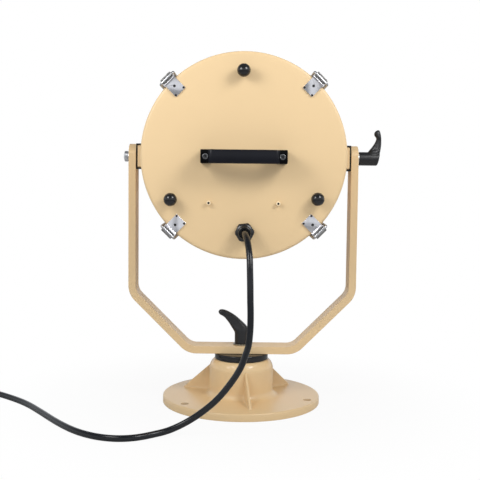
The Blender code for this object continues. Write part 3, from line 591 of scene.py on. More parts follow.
def curve_through(rows, parts):
    """Rows of numbers, with more rows put between them on a smooth curve."""
    rows = [np.array(r, float) for r in rows]
    padded = [2 * rows[0] - rows[1], *rows, 2 * rows[-1] - rows[-2]]
    made = []
    for p0, p1, p2, p3 in zip(padded, padded[1:], padded[2:], padded[3:]):
        for i in range(parts):
            t = i / parts
            made.append(
                (
                    2 * p1
                    + (p2 - p0) * t
                    + (2 * p0 - 5 * p1 + 4 * p2 - p3) * t**2
                    + (3 * p1 - p0 - 3 * p2 + p3) * t**3
                )
                / 2
            )
    made.append(rows[-1])
    return made


def oval(centre, along, across, half_along, half_across, power, count, hollow=0.0):
    """A ring on a rounded section, with a shallow hollow in each broad side."""
    made = []
    for i in range(count):
        c, s = math.cos(math.tau * i / count), math.sin(math.tau * i / count)
        bulge = 1 / (abs(c) ** power + abs(s) ** power) ** (1 / power)
        wide = half_across - hollow * (1 - ease(abs(c * bulge), 0.45, 0.68))
        made.append(
            Vector(centre)
            + Vector(along) * (half_along * c * bulge)
            + Vector(across) * (wide * s * bulge)
        )
    return made


# ------------------------------------------------------------ cover and drum
cover = add(
    "rear_cover_skin",
    placed(
        lathe(
            [(0, -115.0), (45, -115.0), (90, -115.0), (135, -115.0)]
            + fillet(
                [
                    (155, -115.0), (165, -115.0), (165, -101.0), (162.5, -101.0),
                    (162.5, -112.5), (150, -112.5),
                ],
                [0, 4.6, 0.8, 0.8, 3.0, 0],
                6,
                closed=False,
            )
            + [(0, -112.5)],
            192,
        ),
        "rear_cover_skin",
        FORWARD,
    ),
    PAINT,
)
stand_for(cover, "rear_cover")

drum = add(
    "drum_skin",
    placed(
        lathe(
            fillet(
                [
                    (150, -108), (160, -108), (160, 120.5), (150, 120.5), (150, 118),
                    (157.5, 118), (157.5, -105.5), (150, -105.5),
                ],
                [0.6, 3.5, 3.5, 0.6, 0.6, 2.0, 2.0, 0.6],
                5,
            ),
            160,
            closed=True,
        ),
        "drum_skin",
        FORWARD,
    ),
    PAINT,
)
stand_for(drum, "drum_shell")

bezel = add(
    "front_bezel_skin",
    placed(
        lathe(
            fillet(
                [
                    (160.6, 104.0), (163.6, 104.0), (163.6, 135.5), (149.0, 135.5),
                    (149.0, 132.5), (160.6, 132.5),
                ],
                [0.8, 1.2, 4.5, 1.2, 0.8, 2.0],
                5,
            ),
            160,
            closed=True,
        ),
        "front_bezel_skin",
        FORWARD,
    ),
    PAINT,
)
stand_for(bezel, "front_bezel")


def crown(r):
    return 2.525e-4 * r**2 + 7.02e-9 * r**4


lens_radii = [0, 20, 40, 60, 80, 95, 110, 122, 134, 142, 148]
lens = add(
    "lens_glass_disc",
    placed(
        lathe(
            [(r, 141.1 - crown(r)) for r in lens_radii]
            + [(159.2, 132.2), (159.6, 131.8), (159.6, 127.2), (159.2, 126.8)]
            + [(r, 135.6 - crown(r)) for r in lens_radii[::-1]],
            128,
        ),
        "lens_glass_disc",
        FORWARD,
    ),
    LENS_GLASS,
)
stand_for(lens, "lens")

dish_radii = [26 + 122 * i / 22 for i in range(23)]
reflector = add(
    "reflector_dish",
    placed(
        lathe(
            [(r, 30.2 + r**2 / 240.0) for r in dish_radii]
            + [(150.5, 122.8), (159.0, 122.8), (159.0, 120.8), (149.8, 120.8)]
            + [(r, 27.2 + r**2 / 240.0) for r in dish_radii[::-1]],
            144,
            closed=True,
        ),
        "reflector_dish",
        FORWARD,
    ),
    MIRROR,
)
stand_for(reflector, "reflector")

lamp = add(
    "lamp_envelope",
    placed(
        lathe(
            [(0, 8.0)]
            + [
                (max(0.0, r), h)
                for r, h in curve_through(
                    [
                        (9.5, 8.0), (9.5, 18.0), (9.5, 28.0), (12.6, 33.5), (14.0, 41.0),
                        (14.0, 60.0), (13.8, 80.0), (11.2, 89.5), (6.0, 95.2), (0.0, 96.5),
                    ],
                    5,
                )
            ],
            48,
        ),
        "lamp_envelope",
        FORWARD,
    ),
    LAMP_GLASS,
)
stand_for(lamp, "lamp")

# --------------------------------------------------------------------- yoke
BAR_T, BAR_D, YOKE_HALF, CROSS_Z, BEND_R = 12.6, 43.0, 195.6, 86.6, 38.0


def bent(half, low, radius, top):
    """One side of the bent bar, down a leg and round two bends to the middle."""
    corner_z = AXIS_Z - 236.6 + (YOKE_HALF - half) * (math.sqrt(2) - 1)
    corner_x = half - (corner_z - low)
    reach = radius * math.tan(math.radians(22.5))
    made = [(half, top)]
    for i in range(15):
        turn = math.radians(45 * i / 14)
        made.append(
            (
                half - radius + radius * math.cos(turn),
                corner_z + reach - radius * math.sin(turn),
            )
        )
    for i in range(15):
        turn = math.radians(45 + 45 * i / 14)
        made.append(
            (
                corner_x - reach + radius * math.cos(turn),
                low + radius - radius * math.sin(turn),
            )
        )
    return made


outer = bent(YOKE_HALF, CROSS_Z, BEND_R, AXIS_Z + 32)
inner = bent(YOKE_HALF - BAR_T, CROSS_Z + BAR_T, BEND_R - BAR_T, AXIS_Z + 32)
yoke = add(
    "yoke_bar",
    placed(
        prism(
            outer
            + [(-x, z) for x, z in outer[::-1]]
            + [(-x, z) for x, z in inner]
            + inner[::-1],
            -BAR_D / 2,
            BAR_D / 2,
        ),
        "yoke_bar",
        ALONG_BACK,
    ),
    PAINT,
)
end_r, end_z = BAR_D / 2 + 0.5, AXIS_Z - 0.5
end_arc = [
    (
        end_r * math.cos(math.radians(10 + 160 * i / 40)),
        end_z + end_r * math.sin(math.radians(10 + 160 * i / 40)),
    )
    for i in range(41)
]
carve(
    yoke,
    prism(
        end_arc
        + [(-40, end_arc[0][1]), (-40, AXIS_Z + 60), (40, AXIS_Z + 60), (40, end_arc[0][1])],
        -240,
        240,
    ),
    Matrix(((0, 0, 1, 0), (1, 0, 0, 0), (0, 1, 0, 0), (0, 0, 0, 1))),
)
soften(yoke, 0.8, 3, 28)
stand_for(yoke, "yoke")

# --------------------------------------------------------------------- base
FLANGE_R, PEDESTAL_R, PEDESTAL_TOP = 136.5, 55.5, 75.3
section = [(8.4, PEDESTAL_TOP), (20, PEDESTAL_TOP), (34, PEDESTAL_TOP)]
for i in range(13):
    turn = math.radians(90 * i / 12)
    section.append((46 + 9.5 * math.sin(turn) ** 1.25, 60 + (PEDESTAL_TOP - 60) * math.cos(turn) ** 1.25))
section += [(PEDESTAL_R, z) for z in (55, 50, 45, 40, 35, 30)]
for i in range(11):
    turn = math.radians(90 * i / 10)
    section.append((66 - 10.5 * math.cos(turn), 24 - 10.7 * math.sin(turn)))
section += [(r, 13.3 - 0.3 * (r - 66) / 68) for r in (71, 77, 84, 91, 97, 102, 105.5, 108, 110.5, 115, 121, 127, 131.5)]
for i in range(6):
    turn = math.radians(90 * i / 5)
    section.append((133.9 + 2.6 * math.sin(turn), 10.4 + 2.6 * math.cos(turn)))
for i in range(4):
    turn = math.radians(90 * i / 3)
    section.append((135.5 + math.cos(turn), 1.0 - math.sin(turn)))
section += [(100, 0), (47.5, 0), (47.0, 0.6), (45.0, 60.0), (18.5, 60.0), (19.9, 0.6), (19.4, 0), (8.4, 0)]
RIBS = (-82.0, 38.0, 158.0)
SHARE = {
    0.0: 1.0, 0.9: 0.996, 1.4: 0.98, 1.75: 0.94, 1.95: 0.84, 2.1: 0.55, 2.25: 0.22, 2.5: 0.075,
    3.0: 0.034, 4.0: 0.011, 5.6: 0.0,
}


def ribbed(r, z, share, shown):
    """A point of the section, lifted towards the top of a rib."""
    if not shown or share == 0.0 or r > 110.0:
        return z
    top = 61.5 - 47.0 * (r - 57.0) / 53.0 if r > 57.0 else 61.5 + (z - 61.5) * 0.02
    return z + (max(z, top) - z) * share


lines = []
for rib in RIBS:
    offsets = sorted([-d for d in SHARE if d > 0] + list(SHARE))
    lines += [("rib", rib, d) for d in offsets]
    lines += [("plain", rib + 8.5 + (120 - 17) * i / 26, 0.0) for i in range(27)]
last_top = len(section) - 8
work = bmesh.new()
columns = []
for kind, angle, d in lines:
    column = []
    for i, (r, z) in enumerate(section):
        turn = math.radians(angle)
        if kind == "rib":
            turn += math.asin(d / max(r, 46.0))
            z = ribbed(r, z, SHARE[abs(d)], 14 <= i < last_top - 4)
        column.append(work.verts.new((r * math.cos(turn), r * math.sin(turn), z)))
    columns.append(column)
for a, b in zip(columns, columns[1:] + columns[:1]):
    for i in range(len(section)):
        j = (i + 1) % len(section)
        work.faces.new((a[i], a[j], b[j], b[i]))
base = add("base_casting_skin", placed(work, "base_casting_skin", Matrix.Identity(4)), CAST_PAINT, angle=50)
for angle in (-141.0, -21.0, 99.0):
    turn = math.radians(angle)
    there = at(121 * math.cos(turn), 121 * math.sin(turn), 0)
    # The bolt holes' walls take the darker brown: painted shade.
    carve(
        base,
        lathe([(0, -5), (6.75, -5), (6.75, 12.6), (7.1, 13.1), (7.3, 18), (0, 18)], 36),
        there,
        material=HOLE_WALL_SHADE,
    )
base.data.materials.append(CAST_EDGE)
for polygon in base.data.polygons:
    if polygon.center.z > 61.0 * MM and math.hypot(*polygon.center[:2]) > 44.0 * MM:
        polygon.material_index = len(base.data.materials) - 1
base.data.shade_smooth()
base.data.set_sharp_from_angle(angle=math.radians(50))
stand_for(base, "base_casting")

ring = add(
    "bearing_ring_skin",
    placed(
        lathe(
            fillet(
                [(12, 75.6), (45.6, 75.6), (46.3, 76.6), (46.3, 86.3), (12, 86.3)],
                [0.5, 0.6, 0.8, 1.6, 0.5],
                4,
            ),
            128,
            closed=True,
        ),
        "bearing_ring_skin",
        Matrix.Identity(4),
    ),
    GLOSS,
)
stand_for(ring, "bearing_ring")

# ------------------------------------------------------------------- levers
SEAT = CROSS_Z + BAR_T + 2.5
pan_rows = [
    (12.0, 0.6, -12.0, 0.6, 12.0), (12.0, 5.0, -12.0, 5.0, 12.0), (12.0, 11.0, -12.0, 11.0, 12.0),
    (12.3, 18.9, -12.0, 24.0, 11.6), (15.0, 24.4, -9.0, 30.0, 10.6), (18.4, 29.8, -3.1, 36.1, 9.4),
    (22.0, 35.6, 3.9, 42.5, 8.4), (25.4, 39.9, 11.0, 48.5, 7.6), (29.6, 45.0, 18.0, 53.0, 7.0),
    (34.0, 48.2, 25.1, 56.7, 6.5), (38.1, 50.4, 31.0, 58.7, 5.8), (40.2, 53.0, 35.0, 59.2, 4.4),
    (40.8, 55.4, 38.6, 58.6, 2.2),
]
rings = []
fine_rows = curve_through(pan_rows, 4)
for i, (ax, az, bx, bz, width) in enumerate(fine_rows):
    a, b = Vector((-ax, 0, az)), Vector((-bx, 0, bz))
    place = i / (len(fine_rows) - 1)
    hollow = 1.3 * ease(place, 0.3, 0.46) * (1 - ease(place, 0.76, 0.9))
    power = 2.05 + 1.1 * ease(place, 0.15, 0.4)
    rings.append(
        oval(
            (a + b) / 2, (b - a).normalized(), (0, 1, 0), (b - a).length / 2, width, power, 56, hollow
        )
    )
first = [p.copy() for p in rings[0]]
middle = sum(first, Vector()) / len(first)
rings.insert(0, [middle + (p - middle) * 0.95 + Vector((0, 0, -0.6)) for p in first])
pan_lever = add("pan_lever_skin", placed(skin(rings), "pan_lever_skin", at(0, 0, SEAT)), BLACK, angle=50)
stand_for(pan_lever, "pan_lever")

HUB = YOKE_HALF + 2.5


def hub_ring(along, slant, radius, count=64):
    made = []
    for i in range(count):
        y, up = radius * math.cos(math.tau * i / count), radius * math.sin(math.tau * i / count)
        made.append(Vector((along + slant * up, y, up)))
    return made


arm_rows = [
    (1.0, 213.5, 230.6, 8.6), (8.0, 213.5, 233.2, 9.0), (11.5, 214.2, 234.8, 8.8),
    (15.0, 216.6, 235.5, 8.0), (18.5, 219.6, 236.0, 7.2), (22.0, 222.2, 236.4, 6.6),
    (25.5, 224.5, 236.6, 6.1), (29.0, 226.4, 236.6, 5.8), (32.5, 227.7, 236.5, 5.6),
    (35.2, 228.1, 236.4, 5.6), (37.5, 226.6, 236.2, 5.6), (40.0, 224.8, 235.8, 5.6),
    (42.5, 224.2, 235.3, 5.4), (45.0, 224.7, 234.7, 5.0), (47.3, 226.4, 233.8, 4.0),
    (49.4, 229.6, 232.4, 1.8),
]
rings = []
fine_rows = curve_through(arm_rows, 3)
for i, (rise, a, b, width) in enumerate(fine_rows):
    place = i / (len(fine_rows) - 1)
    hollow = 1.5 * ease(place, 0.16, 0.24) * (1 - ease(place, 0.52, 0.66))
    rings.append(
        oval(((a + b) / 2, 0, rise), (1, 0, 0), (0, 1, 0), (b - a) / 2, width, 2.9, 48, hollow)
    )
tilt_lever = add(
    "tilt_lever_skin",
    placed(
        skin(
            [
                hub_ring(HUB, 0, 11.0), hub_ring(HUB + 0.6, 0, 11.6), hub_ring(214.0, 0, 11.6),
                hub_ring(222.0, 0.1, 11.6), hub_ring(230.6, 0.205, 11.6), hub_ring(231.8, 0.205, 11.1),
                hub_ring(232.25, 0.205, 10.2),
            ]
        ),
        "tilt_lever_skin",
        HEAD,
    ),
    BLACK,
)
carve(tilt_lever, skin(rings), HEAD, "UNION")
remesh = tilt_lever.modifiers.new("remesh", "REMESH")
remesh.mode = "VOXEL"
remesh.voxel_size = 0.75 * MM
even_out = tilt_lever.modifiers.new("smooth", "SMOOTH")
even_out.factor = 0.5
even_out.iterations = 5
settle(tilt_lever)
tilt_lever.data.materials.clear()
tilt_lever.data.materials.append(BLACK)
tilt_lever.data.shade_smooth()
stand_for(tilt_lever, "tilt_lever")

# ------------------------------------------------------------------- handle
HANDLE_DROP = 2.0
half = 67.8
arch = fillet(
    [
        (-half, 0.3), (-half, 36.6), (-55.6, 36.6), (-52.2, 41.5), (52.2, 41.5), (55.6, 36.6),
        (half, 36.6), (half, 0.3), (51.6, 0.3), (50.6, 28.0), (-50.6, 28.0), (-51.6, 0.3),
    ],
    [0, 2.0, 0.5, 5.0, 5.0, 0.5, 2.0, 0, 0, 8.0, 8.0, 0],
    6,
)


def pillow(outline, half_height, rounding, crown):
    """A flat outline given a height, with rounded edges and a crowned front."""
    turning = sum(a[0] * b[1] - b[0] * a[1] for a, b in zip(outline, outline[1:] + outline[:1]))
    way = 1 if turning > 0 else -1
    inward = []
    for i, point in enumerate(outline):
        p = Vector(point)
        a = (p - Vector(outline[i - 1])).normalized()
        b = (Vector(outline[(i + 1) % len(outline)]) - p).normalized()
        inward.append(Vector((-a.y - b.y, a.x + b.x)).normalized() * way)
    levels = []
    for k in range(6):
        turn = math.radians(90 * (1 - k / 5))
        levels.append((-half_height + rounding * (1 - math.sin(turn)), rounding * (1 - math.cos(turn))))
    flat_half = half_height - rounding
    levels += [(flat_half * t, 0.0) for t in (-0.75, -0.5, -0.25, 0.0, 0.25, 0.5, 0.75)]
    levels += [(-z, d) for z, d in levels[5::-1]]
    work, rings = bmesh.new(), []
    for z, inset in levels:
        ring = []
        for point, n in zip(outline, inward):
            x, out = Vector(point) + n * inset
            out -= crown * (z / half_height) ** 2 * ease(out, 30.0, 41.0)
            ring.append(work.verts.new((x, out, z)))
        rings.append(ring)
    for a, b in zip(rings, rings[1:]):
        for i in range(len(a)):
            j = (i + 1) % len(a)
            work.faces.new((a[i], a[j], b[j], b[i]))
    work.faces.new(rings[0])
    work.faces.new(rings[-1])
    return work


handle = add(
    "handle_skin",
    placed(
        pillow(arch, 10.8, 1.5, 1.4),
        "handle_skin",
        at(0, COVER_Y, AXIS_Z - HANDLE_DROP)
        @ Matrix(((1, 0, 0, 0), (0, -1, 0, 0), (0, 0, -1, 0), (0, 0, 0, 1))),
    ),
    GRIP,
)
for side, name in ((-1, "left"), (1, "right")):
    there = on_cover(side * 60.0, -HANDLE_DROP)
    carve(
        handle,
        lathe([(0, 29.8), (5.5, 29.8), (5.5, 36.0), (6.2, 36.7), (6.2, 44.0), (0, 44.0)], 40),
        there,
    )
    screw = add(
        f"handle_screw_{name}_skin",
        placed(
            lathe(
                fillet(
                    [(0, -9.0), (3.0, -9.0), (3.0, 30.3), (4.9, 30.3), (4.9, 36.3), (0, 36.3)],
                    [0, 0.5, 0, 0.4, 0.7, 0],
                    4,
                    closed=False,
                ),
                40,
            ),
            f"handle_screw_{name}_skin",
            there,
        ),
        SCREW,
    )
    carve(
        screw,
        lathe([(0, 33.6), (2.2, 33.6), (3.6, 36.8), (0, 36.8)], 6, phase=0.3),
        there,
        material=BRIGHT,
    )
    # Near-black bottom of the socket: painted shade.
    carve(screw, lathe([(0, 32.0), (2.0, 32.0), (2.0, 34.4), (0, 34.4)], 24), there, material=RECESS_SHADE)
    screw.data.shade_smooth()
    screw.data.set_sharp_from_angle(angle=math.radians(35))
    stand_for(screw, f"handle_screw_{name}")
# The end blocks take the darker copy of the grip: painted shade.
handle.data.materials.append(GRIP_END_SHADE)
for face in handle.data.polygons:
    if abs(face.center.x) > 55.7 * MM:
        face.material_index = len(handle.data.materials) - 1
handle.data.shade_smooth()
handle.data.set_sharp_from_angle(angle=math.radians(40))
stand_for(handle, "handle")

# -------------------------------------------------------------- cable gland
GLAND_X, GLAND_DROP = 2.3, 121.5
there = on_cover(GLAND_X, -GLAND_DROP)
body, cone = hexagon(16.2, 0.3, 5.8, 0.985, math.radians(8), 0.95)
gland_body = add("gland_body_skin", placed(body, "gland_body_skin", there), GLAND)
carve(gland_body, cone, there, "INTERSECT")
carve(gland_body, lathe([(5.6, -12.0), (9.8, -12.0), (9.8, 7.0), (5.6, 7.0)], 40, closed=True), there, "UNION")
soften(gland_body, 0.35, 2, 35)
stand_for(gland_body, "gland_body")
body, cone = hexagon(15.8, 6.1, 14.6, 0.985, math.radians(-2), 0.955)
gland_nut = add("gland_nut_skin", placed(body, "gland_nut_skin", there), GLAND)
carve(gland_nut, cone, there, "INTERSECT")
carve(
    gland_nut,
    lathe(
        [
            (0, 8.0), (14.0, 8.0), (14.0, 14.7), (13.5, 15.2), (12.2, 15.9), (10.7, 16.7), (10.2, 17.4),
            (9.9, 21.8), (9.6, 22.8), (9.0, 23.2), (8.4, 22.9), (8.1, 21.6), (7.8, 18.6), (0, 18.6),
        ],
        64,
    ),
    there,
    "UNION",
)
carve(gland_nut, lathe([(0, 5.0), (5.55, 5.0), (5.55, 24.0), (0, 24.0)], 40), there)
carve(gland_nut, lathe([(0, 5.0), (10.1, 5.0), (10.1, 12.6), (0, 12.6)], 40), there)
gland_nut.data.shade_smooth()
gland_nut.data.set_sharp_from_angle(angle=math.radians(35))
stand_for(gland_nut, "gland_nut")
seal = add(
    "gland_seal_lip",
    placed(
        lathe(
            [
                (6.2 + 0.85 * math.cos(math.tau * k / 12), 20.6 + 2.0 * math.sin(math.tau * k / 12))
                for k in range(12)
            ],
            48,
            closed=True,
        ),
        "gland_seal_lip",
        there,
    ),
    RUBBER,
)
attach(seal, "head")

# ----------------------------------------------------------- knobs, studs
for name, angle in (("knob_top", 90.7), ("knob_left", 210.7), ("knob_right", 330.7)):
    turn = math.radians(angle)
    there = on_cover(134.5 * math.cos(turn), 134.5 * math.sin(turn) - 1.5)
    profile = [(0, -28.0), (4.0, -28.0), (4.0, 0.6), (6.0, 0.6), (6.4, 1.0), (6.2, 2.6), (5.95, 3.6), (5.75, 4.6)]
    start = math.asin(-math.sqrt(1 - (5.7 / 10.6) ** 2))
    for i in range(25):
        tilt = start + (math.pi / 2 - start) * i / 24
        profile.append((10.6 * math.cos(tilt) if i < 24 else 0, 14.2 + 10.6 * math.sin(tilt)))
    knob = add(f"{name}_ball", placed(lathe(profile, 48), f"{name}_ball", there), GLOSS, angle=50)
    stand_for(knob, name)
for side, name in ((-1, "left"), (1, "right")):
    there = on_cover(side * 55.5, -75.3)
    post = add(
        f"standoff_{name}_skin",
        placed(
            lathe(
                fillet(
                    [(0, 0.3), (3.7, 0.3), (3.6, 1.2), (3.6, 6.3), (0, 6.3)],
                    [0, 0.2, 0.4, 0.7, 0],
                    4,
                    closed=False,
                ),
                36,
            ),
            f"standoff_{name}_skin",
            there,
        ),
        POST,
    )
    # Near-black inside the post's hole: painted shade.
    carve(
        post,
        lathe([(0, 1.2), (1.6, 1.2), (1.6, 6.0), (2.0, 6.6), (0, 6.6)], 28),
        there,
        material=RECESS_SHADE,
    )
    post.data.shade_smooth()
    post.data.set_sharp_from_angle(angle=math.radians(35))
    stand_for(post, f"standoff_{name}")

# ------------------------------------------------------------------- pivots
LEG_OUT = YOKE_HALF


def nut_at(name, matrix, radius, low, high, bore, material, node):
    body, cone = hexagon(radius, low, high, 0.985)
    made = add(name, placed(body, name, matrix), material)
    carve(made, cone, matrix, "INTERSECT")
    carve(
        made,
        lathe(
            [(0, low - 1), (bore + 0.9, low - 1), (bore + 0.9, low), (bore, low + 0.9), (bore, high - 0.9),
             (bore + 0.9, high), (bore + 0.9, high + 1), (0, high + 1)],
            40,
        ),
        matrix,
    )
    made.data.shade_smooth()
    made.data.set_sharp_from_angle(angle=math.radians(30))
    return stand_for(made, node)


nut_at("pivot_nut_skin", OUT_LEFT, 9.3, LEG_OUT + 2.5, LEG_OUT + 9.0, 5.3, BRIGHT, "pivot_nut")
thread = [(0, 149.4), (9.0, 149.4), (9.0, 156.6), (5.0, 156.6), (5.0, 190.0)]
height = 190.0
while height < 204.6:
    thread += [(5.0, height + 0.2), (4.35, height + 0.75), (4.35, height + 0.95), (5.0, height + 1.4)]
    height += 1.5
thread += [(4.9, 205.0), (4.2, 205.7), (0, 205.7)]
bolt = add("pivot_bolt_skin", placed(lathe(thread, 36), "pivot_bolt_skin", OUT_LEFT), BRIGHT)
stand_for(bolt, "pivot_bolt")
for name, matrix, bore, radius, low, high, finish in (
    ("pivot_washer", OUT_LEFT, 5.5, 9.9, LEG_OUT + 0.3, LEG_OUT + 2.2, BRIGHT),
    ("tilt_washer", OUT_RIGHT, 5.5, 12.0, LEG_OUT + 0.3, LEG_OUT + 2.2, BRIGHT),
    ("pan_washer", Matrix.Identity(4), 8.5, 15.0, CROSS_Z + BAR_T + 0.3, CROSS_Z + BAR_T + 2.2, DULL),
):
    washer = add(
        f"{name}_skin",
        placed(
            lathe(fillet([(bore, low), (radius, low), (radius, high), (bore, high)], 0.45, 3), 56, closed=True),
            f"{name}_skin",
            matrix,
        ),
        finish,
    )
    stand_for(washer, name)

# ------------------------------------------------------------------ latches
for number, angle in {1: 135.6, 2: 45.6, 3: 225.6, 4: 315.6}.items():
    lie = HEAD @ Matrix.Rotation(math.radians(90 - angle), 4, "Y")
    name = f"latch_catch_{number}_plate"
    keeper = add(
        name,
        placed(
            prism(
                fillet(
                    [
                        (141.0, 115.35), (141.0, 117.0), (164.2, 117.0), (165.6, 120.8),
                        (166.8, 120.8), (167.0, 117.0), (177.0, 117.0), (177.0, 115.35),
                    ],
                    [0.2, 0.5, 0.9, 0.5, 0.5, 0.4, 0.5, 0.2],
                    5,
                ),
                -10.6,
                10.6,
            ),
            name,
            lie @ Matrix(((0, 0, 1, 0), (0, -1, 0, 0), (1, 0, 0, 0), (0, 0, 0, 1))),
        ),
        KEEPER,
    )
    face = lie @ Matrix(((1, 0, 0, 0), (0, 0, -1, 0), (0, 1, 0, 0), (0, 0, 0, 1)))
    carve(
        keeper,
        prism(
            [
                (-9.6, 140.8), (9.6, 140.8), (10.55, 141.8), (10.55, 176.1), (9.6, 177.1),
                (-9.6, 177.1), (-10.55, 176.1), (-10.55, 141.8),
            ],
            110,
            125,
        ),
        face,
        "INTERSECT",
    )
    soften(keeper, 0.3, 2, 50)
    # Near-black inside the keeper's middle hole: painted shade.
    carve(
        keeper,
        lathe([(0, 115.7), (2.1, 115.7), (2.1, 116.8), (2.5, 117.3), (0, 117.3)], 24),
        face @ at(0, 155.2, 0),
        material=RECESS_SHADE,
    )
    # Faces past the ridge take the darker steel: painted shade on the lip.
    keeper.data.materials.append(KEEPER_LIP_SHADE)
    inward = (keeper.matrix_world.inverted() @ lie).inverted()
    for polygon in keeper.data.polygons:
        if (inward @ polygon.center).z > 166.85 * MM:
            polygon.material_index = len(keeper.data.materials) - 1
    keeper.data.shade_smooth()
    keeper.data.set_sharp_from_angle(angle=math.radians(30))
    stand_for(keeper, f"latch_catch_{number}")
    for side in (-1, 1):
        rivet = add(
            f"latch_rivet_{number}_{'left' if side < 0 else 'right'}",
            placed(
                lathe([(0, 115.4), (1.5, 115.4), (1.5, 117.0), (1.9, 117.1), (1.75, 117.6), (1.2, 118.0), (0, 118.15)], 24),
                "latch_rivet",
                face @ at(side * 8.6, 143.4, 0),
            ),
            RIVET,
        )
        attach(rivet, "head")

    seat = lie @ at(0, -80.0, 169.5)
    name = f"latch_lever_{number}_shell"
    side_view = seat @ Matrix(((0, 0, 1, 0), (1, 0, 0, 0), (0, 1, 0, 0), (0, 0, 0, 1)))
    outline = fillet(
        [
            (-3.6, -3.2), (-4.6, 0.0), (-3.2, 3.6), (2.0, 5.0), (20.0, 4.7), (35.0, 3.9),
            (43.5, 5.8), (45.2, 3.9), (36.0, 1.3), (24.0, 0.6), (17.0, -4.0), (8.0, -4.7), (0.0, -4.7),
        ],
        [1.5, 3, 3, 6, 20, 10, 0.7, 0.7, 8, 6, 4, 6, 4],
        4,
    )
    lever = add(name, placed(prism(outline, -8.6, 8.6), name, side_view), STAINLESS)
    soften(lever, 0.7, 3, 40)
    carve(
        lever,
        prism([(-6.0, -6.0), (-6.0, 1.6), (1.0, 3.5), (19.5, 3.2), (34.0, 2.4), (36.0, -6.0)], -7.3, 7.3),
        side_view,
    )
    lever.data.shade_smooth()
    lever.data.set_sharp_from_angle(angle=math.radians(35))
    stand_for(lever, f"latch_lever_{number}")

    name = f"latch_bail_{number}_wire"
    corners = [
        (-6.6, 0, 0), (-13.7, 0, 0), (-13.7, -51.6, 3.0), (13.7, -51.6, 3.0), (13.7, 0, 0), (6.6, 0, 0),
    ]
    path = []
    corners = [Vector(c) for c in corners]
    path.append(corners[0])
    for before, corner, after in zip(corners, corners[1:], corners[2:]):
        a, b = (before - corner).normalized(), (after - corner).normalized()
        angle_half = a.angle(b) / 2
        reach = 3.5 / math.tan(angle_half)
        centre = corner + (a + b).normalized() * (3.5 / math.sin(angle_half))
        start, end = corner + a * reach - centre, corner + b * reach - centre
        for k in range(9):
            path.append(centre + start.slerp(end, k / 8) * 3.5)
    path.append(corners[-1])
    to_frame = lie @ at(0, -68.0, 168.5)
    wire = tube(name, [to_frame @ (p * MM) for p in path], 2.25 * MM, 16, WIRE)
    stand_for(wire, f"latch_bail_{number}")

# ------------------------------------------------------ plug and tie of cord
plug_at = at(COIL_X - 55.0, COIL_Y + 47.0, 18.8) @ ALONG_Y
profile = [(0, 0), (6.2, 0)]
for k in range(6):
    base_h = 0.6 + 3.3 * k
    widen = 0.28 * k
    profile += [
        (6.7 + widen, base_h), (6.8 + widen, base_h + 1.9), (5.9 + widen, base_h + 2.2), (5.9 + widen, base_h + 3.0),
    ]
profile += [(8.8, 20.6), (10.4, 22.2), (14.0, 26.0), (16.8, 30.4), (18.0, 34.5)]
for k in range(6):
    profile += [(18.4, 36.5 + 2.6 * k), (18.4, 38.0 + 2.6 * k), (17.7, 38.3 + 2.6 * k), (17.7, 38.8 + 2.6 * k)]
profile += [(18.4, 53.0), (18.4, 61.6), (18.0, 62.6), (17.2, 63.0), (0, 63.0)]
plug = add("plug_moulding", placed(lathe(profile, 56), "plug_moulding", plug_at), RUBBER)
stand_for(plug, "plug")
for side, name in ((-1, "left"), (1, "right")):
    pin = add(
        f"plug_pin_{name}",
        placed(
            lathe(fillet([(0, 61.0), (2.4, 61.0), (2.4, 82.0), (0, 82.0)], [0, 0, 1.5, 0], 5, closed=False), 28),
            f"plug_pin_{name}",
            plug_at @ at(side * 9.5, 0, 0),
        ),
        BRIGHT,
    )
    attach(pin, "base")
strap_out = fillet(
    [(43.6, 0.1), (66.4, 0.1), (66.4, 9.6), (59.0, 21.4), (51.0, 21.4), (43.6, 9.6)], [1.5, 1.5, 3, 4, 4, 3], 5
)
strap_in = fillet(
    [(44.5, 1.1), (65.5, 1.1), (65.5, 9.4), (58.5, 20.4), (51.5, 20.4), (44.5, 9.4)], [1, 1, 2.5, 3.5, 3.5, 2.5], 5
)
tie_at = (
    at(COIL_X, COIL_Y, 0)
    @ Matrix.Rotation(math.radians(20), 4, "Z")
    @ Matrix.Rotation(math.radians(90), 4, "X")
)
tie = add("cord_tie_strap", placed(prism(strap_out, -6.0, 6.0), "cord_tie_strap", tie_at), RUBBER)
carve(tie, prism(strap_in, -7.0, 7.0), tie_at)
stand_for(tie, "cord_tie")

# --------------------------------------------- nodes that keep their own shape
for node, width in (
    ("trunnion_left", 1.0), ("trunnion_right", 1.0), ("friction_pad_left", 0.5),
    ("friction_pad_right", 0.5), ("lamp_holder", 0.8), ("latch_base_1", 0.35),
    ("latch_base_2", 0.35), ("latch_base_3", 0.35), ("latch_base_4", 0.35),
):
    weld = NODES[node].modifiers.new("weld", "WELD")
    weld.merge_threshold = 1e-5
    bevel = NODES[node].modifiers.new("bevel", "BEVEL")
    bevel.width = width * MM
    bevel.segments = 3
    bevel.limit_method = "ANGLE"
    bevel.angle_limit = math.radians(40)

# --------------------------------------------------------------- stage, light
def seen_white(tree, shader, out, share):
    """Lets the camera see plain white, for the given share, over what lights the object."""
    path = tree.nodes.new("ShaderNodeLightPath")
    scale = tree.nodes.new("ShaderNodeMath")
    scale.operation = "MULTIPLY"
    if isinstance(share, float):
        scale.inputs[1].default_value = share
    else:
        tree.links.new(share, scale.inputs[1])
    white = tree.nodes.new("ShaderNodeEmission")
    white.inputs["Strength"].default_value = 1.0
    mix = tree.nodes.new("ShaderNodeMixShader")
    tree.links.new(path.outputs["Is Camera Ray"], scale.inputs[0])
    tree.links.new(scale.outputs["Value"], mix.inputs["Fac"])
    tree.links.new(shader, mix.inputs[1])
    tree.links.new(white.outputs["Emission"], mix.inputs[2])
    tree.links.new(mix.outputs["Shader"], out)


